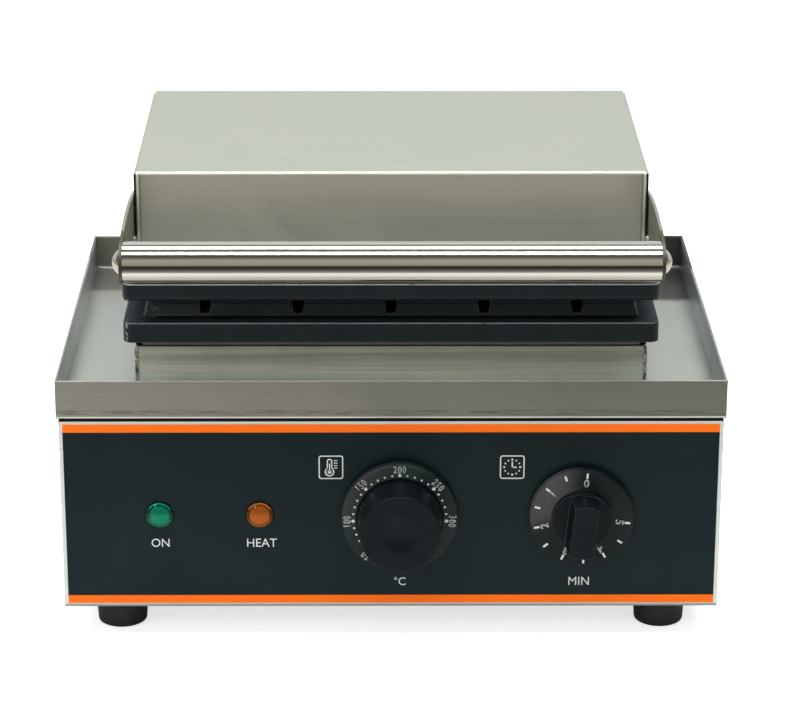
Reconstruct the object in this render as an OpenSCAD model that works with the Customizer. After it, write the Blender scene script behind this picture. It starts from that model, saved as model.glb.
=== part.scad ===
// Countertop corn dog maker: heated moulds on a steel casing, under a hinged lid.
// Origin: on the standing plane, under the middle of the whole box. +X right, +Y back, +Z up.
// Pieces are drawn from the casing's centre, and moved into that frame at the end.

/* [Casing] */
// Outer width of the casing
casing_w = 338; // [325:1:400]
// Outer depth of the casing
casing_d = 238; // [232:1:300]
// Height of the casing above the feet
casing_h = 103; // [95:0.2:140]
// Thickness of the steel sheet
sheet_t = 1.2; // [0.8:0.1:2]
// Width of the lips folded inwards on the side panels
lip_w = 14; // [12:1:20]
// Bare steel left round the panel film
film_margin = 2; // [1:0.5:6]
// Thickness of the panel film
film_t = 0.4; // [0.2:0.1:1]
// Width of one vent slot in the bottom plate
vent_w = 3; // [2:0.5:4]
// Length of one vent slot
vent_len = 60; // [30:1:80]
// Distance between vent slots
vent_pitch = 12; // [8:1:16]
// Number of vent slots
vent_count = 9; // [3:1:11]

/* [Feet] */
// Height of a foot
foot_h = 19.2; // [16:0.2:30]
// Diameter of a foot at the casing
foot_top_d = 28; // [22:0.5:32]
// Diameter of a foot at the ground
foot_bottom_d = 25.5; // [18:0.5:30]
// Distance from a foot's centre to the casing's edges
foot_inset = 27.5; // [24:0.5:45]
// Height of the screw's seat above the ground
foot_seat = 10; // [7:0.5:12]

/* [Tray] */
// Height of the tray with its rim
tray_rim_h = 20.3; // [15:0.1:26]
// How far the tray stands out past the casing
tray_overhang = 1; // [0.5:0.5:4]
// Thickness of the seal between casing and tray
seal_t = 1.5; // [1:0.1:3]
// Width of the seal
seal_w = 13; // [12:0.5:18]
// How far the seal stays inside the casing's edge
seal_inset = 0.5; // [0.2:0.1:0.8]
// Distance of the tray studs from the casing's front and rear
tray_stud_inset = 39; // [24:1:59]

/* [Moulds] */
// Number of moulds side by side
mould_count = 5; // [4:1:6]
// Distance between moulds
mould_pitch = 47.4; // [43:0.2:50]
// Radius of a mould's trough
mould_r = 20; // [18:0.5:21]
// Depth of a mould in each plate
mould_depth = 13; // [10:0.5:13.5]
// Wall in front of a mould
mould_front_wall = 12; // [8:0.5:20]
// Wall behind a mould
mould_rear_wall = 6; // [4:0.5:12]
// Width of a stick groove at the parting plane
stick_w = 6.3; // [5.5:0.1:8]
// Width of a stick groove's floor
stick_floor_w = 4.6; // [4.3:0.1:5.4]
// Depth of a stick groove in each plate
stick_depth = 4.4; // [3:0.1:4.8]

/* [Plates] */
// Plate beyond the outer moulds' pitch, each side
plate_side_margin = 17.5; // [16:0.25:24]
// Depth of a plate, front to back
plate_d = 166; // [150:1:170]
// Distance from the tray's front to the plates
plate_setback = 15; // [8:1:20]
// Thickness of the lower plate's flange
lower_flange_t = 10.5; // [8.5:0.1:14]
// Thickness of the upper plate's flange
upper_flange_t = 9.5; // [8.5:0.1:14]
// Height of the raised mould block on a plate
block_h = 5.5; // [5:0.1:8]
// Step from the flange's side to the mould block
block_side_inset = 10; // [7:0.5:14]
// Step from the flange's front and rear to the mould block
block_end_inset = 11.8; // [8:0.2:16]
// Draft of the mould block's sides
draft_angle = 20; // [5:1:30]
// Rounding of the lower plate's upper edge
lower_edge_r = 1; // [0.5:0.5:4]
// Rounding of the upper plate's lower edge
upper_edge_r = 3; // [0.5:0.5:4]
// Rounding of a plate's corners
plate_corner_r = 5; // [3:0.5:8]
// Gap between the closed plates
plate_gap = 0.3; // [0.2:0.1:1]

/* [Riser] */
// Height of the riser above the tray's floor
riser_h = 30.2; // [26:0.2:40]
// Overhang of the plate past the riser
riser_inset = 6; // [3:0.5:10]
// Height of the frame between riser and plate
frame_h = 4.2; // [4:0.1:9]
// Width of the frame's rim
frame_w = 8; // [6:0.5:12]
// Height of the shadow groove below the frame
groove_h = 1; // [0.4:0.1:1.5]
// Depth of the shadow groove
groove_d = 2; // [1:0.5:4]

/* [Heating] */
// Diameter of a tubular heating element
element_d = 8; // [6:0.5:9]
// Distance from the frame's inside to the element's outer run
element_side = 26; // [18:1:34]
// Distance from the frame's inside to the element's bends
element_end = 6; // [4:0.5:10]
// Diameter of an element's terminal pin
pin_d = 4; // [3:0.5:5]
// Length of an element's terminal pin
pin_len = 10; // [6:1:12]
// Width of a clamp bar
bar_w = 20; // [16:1:24]
// Thickness of a clamp bar
bar_t = 3; // [2:0.5:4]
// Distance of the clamp bars from the plates' middle
bar_y = 40; // [34:1:46]
// How far a stud is screwed into its plate
stud_bite = 8; // [5:0.5:9]
// Thickness of the lower insulation pad
lower_pad_t = 15; // [8:0.5:16]
// Thickness of the upper insulation pad
upper_pad_t = 25; // [12:1:34]
// Space left round the insulation pads
pad_gap = 12; // [10:0.5:20]

/* [Hood] */
// Height of the hood above the upper plate
hood_h = 56.8; // [52:0.2:80]
// Overhang of the plate past the hood's front and sides
hood_inset = 7; // [4:0.5:10]
// Overhang of the plate behind the hood
hood_back_inset = 1.5; // [0.5:0.5:10]
// Outer radius of the cover's folds
hood_bend_r = 2; // [2:0.1:4]
// How far the hood ends stay behind the cover's faces
end_setback = 1.5; // [0.5:0.1:3]

/* [Handle] */
// Diameter of the handle tube
handle_d = 20; // [18:0.5:26]
// Wall of the handle tube
handle_wall = 1.5; // [1:0.1:3]
// Length of the plug welded into each end of the tube
plug_len = 15; // [12:1:30]
// Distance from the hood's front to the tube's axis
handle_reach = 74; // [60:1:90]
// Distance from the hood's top down to the tube's axis
handle_drop = 22.8; // [18:0.2:26]
// Thickness of a handle arm
arm_t = 1.5; // [1.2:0.1:4]
// Radius of an arm's front end
arm_end_r = 10.5; // [9:0.5:13]
// Radius of the arm's bowed upper edge
arm_crown_r = 250; // [180:5:320]
// Height of the bowed edge above the tube's axis
arm_crown_rise = 13.6; // [13.2:0.1:16]
// Height of an arm's lower edge below the tube's axis at the hood
arm_drop = 17.5; // [14:0.5:20]
// Distance of the arm screws below the tube's axis
arm_screw_drop = 5.8; // [4:0.1:8]
// How far an arm runs back along the hood
arm_len = 60; // [54:1:80]
// Diameter of the dome screw's head at the tube's ends
dome_d = 12.7; // [11:0.1:16]
// Height of the dome screw's head
dome_h = 3.8; // [2.5:0.1:5]
// Diameter of a rivet on an arm
rivet_d = 3; // [2:0.5:4]
// Diameter of a rivet's head
rivet_head_d = 5; // [4.5:0.5:7]
// Height of a rivet's head
rivet_head_h = 1.8; // [1:0.1:2.5]
// Distance of a rivet in front of the hood
rivet_reach = 5; // [4:0.5:12]
// Distance of a rivet below the tube's axis
rivet_drop = 11.4; // [8:0.2:12]

/* [Hinge] */
// Distance of the hinge axis behind the plates
hinge_back = 17; // [16:0.5:19]
// Height of the hinge axis above the parting plane
hinge_up = 10; // [7:0.5:13]
// Distance from the middle to a bracket's outer face
hinge_spread = 95; // [70:1:100]
// Diameter of the hinge axle
axle_d = 10; // [8:0.5:11]
// Size across the flats of an axle nut
axle_nut_af = 17; // [15:0.5:20]
// Height of an axle nut
axle_nut_h = 8; // [6:0.5:10]
// Wall of a hinge bush
bush_wall = 2; // [1.5:0.1:2.5]
// Thickness of a hinge bush's flange
bush_flange_t = 2; // [1:0.1:3]
// Length of a hinge bush's sleeve
bush_len = 9; // [6:0.5:14]
// Metal round the bush in a hinge ear
ear_rim = 2; // [1.5:0.1:2.5]
// Thickness of a hinge ear
ear_t = 3; // [2:0.5:4]
// Distance from the hood's top down to the ears
ear_drop = 14; // [10:0.5:18]
// Distance from the upper plate up to the ears
ear_lift = 5.5; // [4:0.5:8]
// Gap between the plates' rear and the brackets and ears
hinge_gap = 1; // [0.5:0.1:2]
// Thickness of a hinge bracket
bracket_t = 3; // [2:0.5:4]
// Width of the flanges of brackets and ears
wing_w = 25; // [22:0.5:32]
// Opening angle of the lid at its stop
lid_open = 95; // [85:1:105]
// Diameter of the lid stop pin
stop_d = 6; // [5:0.5:8]
// Distance of the stop pin along the open ear's edge
stop_along = 15; // [13:0.5:17]

/* [Dials] */
// Height of the dials above the casing's lower edge
dial_rise = 51.6; // [42:0.2:56]
// Gap between the front panel and a dial
dial_gap = 3.4; // [3:0.1:5]
// Place of the thermostat dial
thermostat_x = 4.4; // [0:0.2:20]
// Diameter of the thermostat dial's skirt
thermostat_skirt_d = 59.4; // [54:0.2:64]
// Diameter of the thermostat dial's grip at its foot
thermostat_grip_d = 44.4; // [40:0.2:48]
// Diameter of the thermostat dial's grip at its face
thermostat_face_d = 42.4; // [34:0.2:44]
// Height of the thermostat dial
thermostat_knob_h = 25; // [18:0.5:30]
// Diameter of the hollow in the thermostat dial's face
dimple_d = 21; // [14:0.5:26]
// Depth of the hollow
dimple_depth = 1.6; // [0.5:0.1:3]
// Distance of the timer dial from the casing's right edge
timer_side = 71.5; // [60:0.5:84]
// Diameter of the timer dial's skirt
timer_skirt_d = 53.2; // [46:0.2:58]
// Diameter of the timer dial's boss
timer_boss_d = 31.3; // [28:0.2:36]
// Height of the timer dial's boss
timer_boss_h = 7; // [5:0.5:10]
// Length of the timer dial's bar grip
timer_bar_len = 28.7; // [24:0.2:31]
// Width of the timer dial's bar grip
timer_bar_w = 12.2; // [8:0.2:16]
// Height of the timer dial
timer_knob_h = 22.5; // [16:0.5:28]
// Turn of the timer dial at rest, clockwise
timer_rest = 6; // [0:1:20]
// Thickness of a dial's skirt
skirt_t = 2.8; // [2:0.1:4]
// How far a skirt's rim reaches back towards the panel
skirt_lip = 2; // [0.5:0.1:2.2]
// Width of that rim
skirt_lip_w = 3; // [2:0.5:4]
// Chamfer of a skirt's rim
skirt_bevel = 0.9; // [0.4:0.1:1.5]
// Chamfer of the thermostat dial's face
face_bevel = 1.4; // [0.5:0.1:2.5]
// Diameter of a control's shaft
shaft_d = 6; // [5:0.5:8]
// Depth of the flat on a shaft
shaft_flat = 1; // [0.5:0.1:1.5]
// Length of shaft inside a dial
shaft_grip = 12; // [8:0.5:13]
// Length of shaft inside a control
shaft_sink = 14; // [10:0.5:18]

/* [Controls] */
// Width of the thermostat's body
thermostat_w = 42; // [36:1:50]
// Height of the thermostat's body
thermostat_h = 36; // [24:1:44]
// Depth of the thermostat's body
thermostat_depth = 24; // [20:1:30]
// Diameter of the timer's body
timer_d = 40; // [36:1:48]
// Depth of the timer's body
timer_depth = 30; // [20:1:36]
// Wall of the neck round a shaft
neck_wall = 2; // [1.5:0.1:3]
// How far the neck stands out of the panel
neck_out = 2.2; // [1.5:0.1:2.5]
// Distance between a control's two screws
control_screw_gap = 28; // [24:1:32]
// Diameter of a control's screws
control_screw_d = 4; // [3:0.5:4]
// Diameter of a control screw's head
control_head_d = 7; // [6:0.5:8]
// Height of a control screw's head
control_head_h = 2; // [1:0.1:2.4]
// Length of a control screw in its control
control_screw_len = 8; // [5:0.5:10]
// Diameter of the windows in the film behind the dials
control_window = 40; // [40:0.5:44]
// Diameter of the thermostat's bulb
bulb_d = 8; // [6:0.5:9]
// Length of the thermostat's bulb
bulb_len = 75; // [50:1:80]
// Diameter of the capillary
capillary_d = 2; // [1.5:0.1:3]
// Diameter of the capillary's soldered joints
capillary_joint_d = 3; // [2.5:0.1:5]
// Height at which the capillary crosses the casing
capillary_rise = 76; // [70:1:85]

/* [Lamps] */
// Distance of the power lamp from the casing's left edge
power_lamp_side = 50.2; // [34:0.2:59]
// Distance of the heat lamp from the casing's left edge
heat_lamp_side = 101.6; // [89:0.2:114]
// Diameter of a lamp's lens
lens_d = 14.4; // [13:0.1:18]
// Height of a lens' rim
lens_rim_h = 1; // [0.5:0.1:2]
// Diameter of the lens' inner disc
lens_disc_d = 8.8; // [6:0.1:10]
// Height of a lens
lens_h = 3.4; // [2.5:0.1:5]
// Diameter of a lamp's body
lamp_d = 9.8; // [8:0.1:10.5]
// Length of a lamp's body behind the panel
lamp_len = 24; // [14:1:34]
// Size across the flats of a lamp's nut
lamp_nut_af = 14; // [13:0.5:17]
// Height of a lamp's nut
lamp_nut_h = 3; // [2:0.5:5]

/* [Wiring] */
// Distance of the cable gland from the casing's left edge
gland_side = 51; // [39:1:79]
// Height of the cable gland above the casing's lower edge
gland_rise = 34; // [26:1:50]
// Diameter of the gland's bore
gland_bore_d = 9; // [7:0.5:10]
// Diameter of the gland's thread
gland_thread_d = 16; // [14:0.5:18]
// Length of the gland's thread inside the casing
gland_thread_len = 10; // [8:0.5:14]
// Size across the flats of the gland's hexagons
gland_af = 22; // [20:0.5:26]
// Height of the gland's hexagons
gland_hex_h = 5; // [4:0.5:7]
// Diameter of the gland's cap
gland_cap_d = 18; // [15:0.5:20]
// Length of the gland's cap
gland_cap_len = 13; // [8:0.5:18]
// Place of the bushes for the lid's wiring
conduit_x = 40; // [30:1:55]
// Distance of the casing's wiring bush below the casing's top
conduit_drop = 28; // [20:1:40]
// Distance of the hood's wiring bush below the hood's top
hood_conduit_drop = 26; // [20:1:30]
// Bore of a wiring bush
grommet_bore_d = 11; // [8:0.5:13]
// Diameter of the hole that a wiring bush fits
grommet_hole_d = 16; // [15:0.5:18]
// Diameter of a wiring bush's rims
grommet_rim_d = 22; // [20:0.5:24]
// Thickness of a wiring bush's rims
grommet_rim_t = 2; // [1.5:0.1:3]
// Place of the grommet in the tray floor, behind the plates' middle
grommet_back = 22; // [20:0.5:26]
// Distance of the terminal block from the casing's left edge
terminal_side = 99; // [79:1:129]
// Distance of the terminal block from the casing's rear
terminal_back = 49; // [44:1:64]
// Width of the terminal block
terminal_w = 46; // [40:1:60]
// Depth of the terminal block
terminal_d = 22; // [18:1:30]
// Height of the terminal block
terminal_h = 16; // [12:1:22]
// Distance between the terminal block's wire holes
terminal_pitch = 9; // [8:0.5:12]
// Height of the wire holes above the block's foot
terminal_hole_rise = 11; // [8:0.5:15]
// Diameter of the terminal block's wire holes
terminal_hole_d = 4; // [3:0.5:5]

/* [Fasteners] */
// Diameter of the studs and machine screws
bolt_d = 6; // [5:0.5:6]
// Size across the flats of their nuts
nut_af = 10; // [9:0.5:11]
// Height of their nuts
nut_h = 5; // [3:0.5:5]
// Diameter of a machine screw's head
head_d = 11; // [10:0.5:12]
// Height of a machine screw's head
head_h = 3.3; // [2:0.1:4]
// Metal kept past a machine screw's head
head_edge = 1; // [0.5:0.1:2]
// Size of a screw head's flat top, as a part of its diameter
head_taper = 0.8; // [0.6:0.05:1]
// Diameter of the bottom plate's screws
tapping_d = 4; // [3:0.5:5]
// Diameter of a bottom plate screw's head
tapping_head_d = 8; // [7:0.5:9]
// Height of a bottom plate screw's head
tapping_head_h = 2.2; // [1.5:0.1:3]
// Length of a bottom plate screw
tapping_len = 10; // [8:0.5:12]
// Thread that stands out past a nut
thread_out = 2; // [1:0.5:3]

/* [Clearances] */
// Radial clearance of a shaft or axle that turns
run_clear = 0.05; // [0.02:0.01:0.1]
// Radial clearance of a fixed fit
fit_clear = 0.02; // [0.01:0.01:0.05]
// Radial clearance of a screw in its hole
hole_clear = 0.2; // [0.1:0.05:0.5]
// Gap between bodies that move past each other
body_clear = 0.3; // [0.2:0.05:0.5]
// Gap between an element and what clamps it
clamp_clear = 0.1; // [0.05:0.01:0.2]

/* [Hidden] */
$fn = 48;
// Overlap of a cutting solid past the face that it cuts
cut = 1;

// Levels and faces of the casing and the tray
casing_z = foot_h;
casing_top = casing_z + casing_h;
front_y = -casing_d / 2;
rear_y = casing_d / 2;
side_x = casing_w / 2;
tray_w = casing_w + 2 * tray_overhang;
tray_d = casing_d + 2 * tray_overhang;
tray_z = casing_top + seal_t;
tray_floor = tray_z + sheet_t;
foot_x = side_x - foot_inset;
foot_y = rear_y - foot_inset;
tray_stud_x = side_x - lip_w / 2;
tray_stud_y = rear_y - tray_stud_inset;
vent_shift = (vent_pitch - vent_w) / 2;

// Plan and levels of the cooking plates
plate_w = mould_count * mould_pitch + 2 * plate_side_margin;
plate_front = -tray_d / 2 + plate_setback;
plate_rear = plate_front + plate_d;
unit_y = (plate_front + plate_rear) / 2;
riser_w = plate_w - 2 * riser_inset;
riser_d = plate_d - 2 * riser_inset;
riser_rear = unit_y + riser_d / 2;
riser_top = tray_floor + riser_h;
frame_top = riser_top + frame_h;
parting_z = frame_top + lower_flange_t + block_h;
upper_parting = parting_z + plate_gap;
upper_top = upper_parting + block_h + upper_flange_t;
draft_run = block_h * tan(draft_angle);
mould_front = plate_front + block_end_inset + draft_run + mould_front_wall;
mould_rear = plate_rear - block_end_inset - draft_run - mould_rear_wall;
mould_y = (mould_front + mould_rear) / 2;
mould_half_chord = sqrt(2 * mould_r * mould_depth - mould_depth * mould_depth);
mould_half_run = (mould_rear - mould_front) / 2 - mould_half_chord;
mould_xs = [for (i = [0:mould_count - 1]) (i - (mould_count - 1) / 2) * mould_pitch];

// Heating elements, their bars and the plate studs
stud_x = (mould_count / 2 - 1) * mould_pitch;
stud_points = [for (s = [-1, 1]) for (e = [-1, 1]) [s * stud_x, unit_y + e * bar_y]];
inside_w = riser_w - 2 * frame_w;
inside_d = riser_d - 2 * frame_w;
run_pitch = (inside_w - 2 * element_side) / 3;
bend_y = inside_d / 2 - element_end - element_d / 2 - run_pitch / 2;
outer_run_end = inside_d / 2 - element_end - pin_len;
bar_half_len = 1.5 * run_pitch + element_d;
lower_element_z = frame_top - clamp_clear - element_d / 2;
lower_bar_top = lower_element_z - element_d / 2 - clamp_clear;
upper_element_z = upper_top + clamp_clear + element_d / 2;
bridge_z = upper_element_z + element_d / 2 + clamp_clear;
bridge_top = bridge_z + bar_t;

// Hood and handle
hood_w = plate_w - 2 * hood_inset;
hood_front = plate_front + hood_inset;
hood_rear = plate_rear - hood_back_inset;
hood_d = hood_rear - hood_front;
hood_y = (hood_front + hood_rear) / 2;
hood_top = upper_top + hood_h;
end_x = hood_w / 2 - sheet_t;
handle_y = hood_front - handle_reach;
handle_z = hood_top - handle_drop;
arm_x = hood_w / 2;
crown_z = handle_z + arm_crown_rise - arm_crown_r;
crown_y = handle_y + sqrt(pow(arm_crown_r - arm_end_r, 2) - pow(handle_z - crown_z, 2));
crown_join = handle_y + arm_end_r * (handle_y - crown_y) / (arm_crown_r - arm_end_r);
front_bar_y = unit_y - bar_y;
rear_bar_y = unit_y + bar_y;
arm_screw_y = hood_front + rivet_reach + head_d / 2;
hood_screw_z = handle_z - arm_screw_drop;
// Screw places on a hood end: two through the arm, one at the rear bar
hood_screw_ys = [arm_screw_y, front_bar_y, rear_bar_y];

// Hinge: the ear's edge, and the stop pin that meets it when the lid is open
hinge_y = plate_rear + hinge_back;
hinge_z = parting_z + hinge_up;
ear_r = axle_d / 2 + bush_wall + ear_rim;
ear_top = hood_top - ear_drop;
ear_bottom = upper_top + ear_lift;
ear_reach = norm([hood_rear - hinge_y, ear_top - hinge_z]);
ear_edge_turn = atan2(ear_top - hinge_z, hood_rear - hinge_y) - acos(ear_r / ear_reach);
stop_turn = ear_edge_turn - lid_open;
stop_off = ear_r + stop_d / 2 + body_clear;
stop_y = hinge_y + stop_off * cos(stop_turn) - stop_along * sin(stop_turn);
stop_z = hinge_z + stop_off * sin(stop_turn) + stop_along * cos(stop_turn);
bracket_x = hinge_spread - bracket_t;
ear_x = bracket_x - body_clear - bush_flange_t - ear_t;
bracket_low = tray_floor + thread_out;
bracket_high = riser_top - groove_d;
bracket_screw_x = hinge_spread - wing_w / 2 - bracket_t;
bracket_screw_zs = [bracket_low + head_d / 2 + head_edge, bracket_high - head_d / 2 - head_edge];
ear_screw_x = ear_x - wing_w / 2 + ear_t;
ear_screw_zs = [ear_bottom + head_d / 2 + head_edge, ear_top - head_d / 2 - head_edge];

// Front panel: dials, lamps and the gland behind
dial_z = casing_z + dial_rise;
power_lamp_x = power_lamp_side - side_x;
heat_lamp_x = heat_lamp_side - side_x;
timer_x = side_x - timer_side;
dial_back = front_y - dial_gap;
panel_back = front_y + sheet_t;
neck_d = shaft_d + 2 * run_clear + 2 * neck_wall;
gland_x = gland_side - side_x;
gland_z = casing_z + gland_rise;
gland_rear = rear_y + gland_hex_h + gland_cap_len;
conduit_z = casing_top - conduit_drop;
hood_conduit_z = hood_top - hood_conduit_drop;
grommet_y = unit_y + grommet_back;
capillary_z = casing_z + capillary_rise;
base_screw_x = side_x - lip_w / 2;
base_screw_ys = [-rear_y / 2, rear_y / 2];
terminal_x = terminal_side - side_x;
terminal_y = rear_y - terminal_back;
terminal_screw_x = terminal_w / 2 - tapping_head_d / 2;
terminal_xs = [for (s = [-1, 1]) terminal_x + s * terminal_screw_x];

// Middle of the whole box, from the arms' front ends to the gland's cap
middle_y = (handle_y - arm_end_r + gland_rear) / 2;

// Helpers

// A box between its low and high corners
module box(low, high) {
    translate(low)
        cube(high - low);
}

// Round rods along each axis, and between two points
module rod_x(x0, x1, y, z, d) {
    translate([x0, y, z])
        rotate([0, 90, 0])
            cylinder(d = d, h = x1 - x0);
}

module rod_y(x, y0, y1, z, d) {
    translate([x, y0, z])
        rotate([-90, 0, 0])
            cylinder(d = d, h = y1 - y0);
}

module rod_z(x, y, z0, z1, d) {
    translate([x, y, z0])
        cylinder(d = d, h = z1 - z0);
}

module rod_between(p, q, d) {
    v = q - p;
    translate(p)
        rotate([0, acos(v[2] / norm(v)), atan2(v[1], v[0])])
            cylinder(d = d, h = norm(v));
}

// Extrusions of a YZ outline along X, and of an XZ outline along Y
module along_x(x0, x1) {
    translate([x0, 0, 0])
        rotate([90, 0, 90])
            linear_extrude(x1 - x0)
                children();
}

module along_y(y0, y1) {
    translate([0, y1, 0])
        rotate([90, 0, 0])
            linear_extrude(y1 - y0)
                children();
}

// The same piece on both sides of the middle
module both_sides() {
    children();
    mirror([1, 0, 0])
        children();
}

// A rectangular ring of walls round a centre at y
module ring(w, d, wall, z0, z1, y) {
    difference() {
        box([-w / 2, y - d / 2, z0], [w / 2, y + d / 2, z1]);
        box([-w / 2 + wall, y - d / 2 + wall, z0 - cut], [w / 2 - wall, y + d / 2 - wall, z1 + cut]);
    }
}

// An outline with its two upper corners rounded
module round_top(w, h, r) {
    translate([-w / 2, 0])
        square([w, h - r]);
    translate([-w / 2 + r, 0])
        square([w - 2 * r, h]);
    for (s = [-1, 1])
        translate([s * (w / 2 - r), h - r])
            circle(r);
}

// A dome that stands on the plane z = 0
module dome(d, h) {
    r = (d * d / 4 + h * h) / (2 * h);
    intersection() {
        translate([0, 0, h - r])
            sphere(r);
        cylinder(d = d + cut, h = h + cut);
    }
}

// A pan head screw: the head below z = 0, the shank above it
module screw(d, len, cap_d, cap_h) {
    cylinder(d = d, h = len);
    mirror([0, 0, 1])
        cylinder(d1 = cap_d, d2 = head_taper * cap_d, h = cap_h);
}

// A hexagon nut that stands on the plane z = 0
module nut(af, h, bore) {
    difference() {
        cylinder(d = af / cos(30), h = h, $fn = 6);
        translate([0, 0, -cut])
            cylinder(d = bore, h = h + 2 * cut);
    }
}

module bolt_nut() {
    nut(nut_af, nut_h, bolt_d + 2 * fit_clear);
}

// A rubber bush that grips a sheet between z = 0 and the sheet's thickness
module wiring_bush() {
    difference() {
        union() {
            translate([0, 0, -grommet_rim_t])
                cylinder(d = grommet_rim_d, h = grommet_rim_t);
            cylinder(d = grommet_hole_d - 2 * fit_clear, h = sheet_t);
            translate([0, 0, sheet_t])
                cylinder(d = grommet_rim_d, h = grommet_rim_t);
        }
        translate([0, 0, -grommet_rim_t - cut])
            cylinder(d = grommet_bore_d, h = sheet_t + 2 * grommet_rim_t + 2 * cut);
    }
}

// Places of the repeated pieces
module at_feet() {
    for (s = [-1, 1])
        for (e = [-1, 1])
            translate([s * foot_x, e * foot_y, 0])
                children();
}

module at_tray_studs(z) {
    for (s = [-1, 1])
        for (e = [-1, 1])
            translate([s * tray_stud_x, e * tray_stud_y, z])
                children();
}

module at_studs(z) {
    for (p = stud_points)
        translate([p[0], p[1], z])
            children();
}

module at_base_screws() {
    for (s = [-1, 1])
        for (y = base_screw_ys)
            translate([s * base_screw_x, y, casing_z])
                children();
    for (x = terminal_xs)
        translate([x, terminal_y, casing_z])
            children();
}

module at_bracket_screws(y) {
    for (s = [-1, 1])
        for (z = bracket_screw_zs)
            translate([s * bracket_screw_x, y, z])
                rotate([90, 0, 0])
                    children();
}

module at_ear_screws(y) {
    for (s = [-1, 1])
        for (z = ear_screw_zs)
            translate([s * ear_screw_x, y, z])
                rotate([90, 0, 0])
                    children();
}

module at_control_screws() {
    for (x = [thermostat_x, timer_x])
        for (s = [-1, 1])
            translate([x + s * control_screw_gap / 2, front_y, dial_z])
                rotate([-90, 0, 0])
                    children();
}

// A dial's own frame: x right, y up and z out of the panel
module at_dial(x, turn) {
    translate([x, dial_back, dial_z])
        rotate([0, turn, 0])
            rotate([90, 0, 0])
                children();
}

// Casing

module front_panel() {
    color("silver")
        difference() {
            box([-side_x, front_y, casing_z], [side_x, panel_back, casing_top]);
            for (x = [power_lamp_x, heat_lamp_x])
                rod_y(x, front_y - cut, panel_back + cut, dial_z, lamp_d + 2 * hole_clear);
            for (x = [thermostat_x, timer_x])
                rod_y(x, front_y - cut, panel_back + cut, dial_z, neck_d + 2 * hole_clear);
            at_control_screws()
                translate([0, 0, -cut])
                    cylinder(d = control_screw_d + 2 * hole_clear, h = sheet_t + 2 * cut);
        }
}

module rear_panel() {
    color("silver")
        difference() {
            box([-side_x, rear_y - sheet_t, casing_z], [side_x, rear_y, casing_top]);
            rod_y(gland_x, rear_y - sheet_t - cut, rear_y + cut, gland_z, gland_thread_d + 2 * hole_clear);
            rod_y(conduit_x, rear_y - sheet_t - cut, rear_y + cut, conduit_z, grommet_hole_d);
        }
}

// The right side panel: a sheet with a lip along its top and one on the bottom plate
module side_panel() {
    y0 = panel_back;
    y1 = rear_y - sheet_t;
    color("silver")
        difference() {
            union() {
                box([side_x - sheet_t, y0, casing_z], [side_x, y1, casing_top]);
                box([side_x - lip_w, y0, casing_top - sheet_t], [side_x, y1, casing_top]);
                box([side_x - lip_w, y0, casing_z + sheet_t], [side_x, y1, casing_z + 2 * sheet_t]);
            }
            at_tray_studs(casing_top - sheet_t - cut)
                cylinder(d = bolt_d + 2 * hole_clear, h = sheet_t + 2 * cut);
            at_base_screws()
                cylinder(d = tapping_d + 2 * fit_clear, h = 2 * sheet_t + cut);
        }
}

module right_side_panel() {
    side_panel();
}

module left_side_panel() {
    mirror([1, 0, 0])
        side_panel();
}

module bottom_plate() {
    color("silver")
        difference() {
            box([-side_x + sheet_t, panel_back, casing_z],
                [side_x - sheet_t, rear_y - sheet_t, casing_z + sheet_t]);
            at_feet()
                rod_z(0, 0, casing_z - cut, casing_z + sheet_t + cut, bolt_d + 2 * hole_clear);
            at_base_screws()
                translate([0, 0, -cut])
                    cylinder(d = tapping_d + 2 * hole_clear, h = sheet_t + 2 * cut);
            for (i = [0:vent_count - 1])
                translate([(i - vent_count / 2) * vent_pitch + vent_shift, -vent_len / 2, casing_z - cut])
                    cube([vent_w, vent_len, sheet_t + 2 * cut]);
        }
}

module panel_film() {
    color("black")
        difference() {
            box([-side_x + film_margin, front_y - film_t, casing_z + film_margin],
                [side_x - film_margin, front_y, casing_top - film_margin]);
            for (x = [power_lamp_x, heat_lamp_x])
                rod_y(x, front_y - film_t - cut, front_y + cut, dial_z, lamp_d + 2 * hole_clear);
            for (x = [thermostat_x, timer_x])
                rod_y(x, front_y - film_t - cut, front_y + cut, dial_z, control_window);
        }
}

module rubber_feet() {
    color("dimgray")
        at_feet()
            difference() {
                cylinder(d1 = foot_bottom_d, d2 = foot_top_d, h = foot_h);
                translate([0, 0, -cut])
                    cylinder(d = head_d + 2 * hole_clear, h = foot_seat + cut);
                cylinder(d = bolt_d + 2 * hole_clear, h = foot_h + cut);
            }
}

module foot_screws() {
    color("gainsboro")
        at_feet()
            translate([0, 0, foot_seat])
                screw(bolt_d, foot_h - foot_seat + sheet_t + nut_h + thread_out, head_d, head_h);
}

module base_screws() {
    color("gainsboro")
        at_base_screws()
            screw(tapping_d, tapping_len, tapping_head_d, tapping_head_h);
}

// Tray and riser

module tray_seal() {
    color("black")
        difference() {
            ring(casing_w - 2 * seal_inset, casing_d - 2 * seal_inset, seal_w, casing_top, tray_z, 0);
            at_tray_studs(casing_top - cut)
                cylinder(d = bolt_d + 2 * hole_clear, h = seal_t + 2 * cut);
        }
}

module drip_tray() {
    inner_w = tray_w / 2 - sheet_t;
    inner_d = tray_d / 2 - sheet_t;
    color("silver")
        difference() {
            box([-tray_w / 2, -tray_d / 2, tray_z], [tray_w / 2, tray_d / 2, tray_z + tray_rim_h]);
            box([-inner_w, -inner_d, tray_floor], [inner_w, inner_d, tray_z + tray_rim_h + cut]);
            at_studs(tray_z - cut)
                cylinder(d = bolt_d + 2 * hole_clear, h = sheet_t + 2 * cut);
            rod_z(0, grommet_y, tray_z - cut, tray_floor + cut, grommet_hole_d);
        }
}

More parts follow.
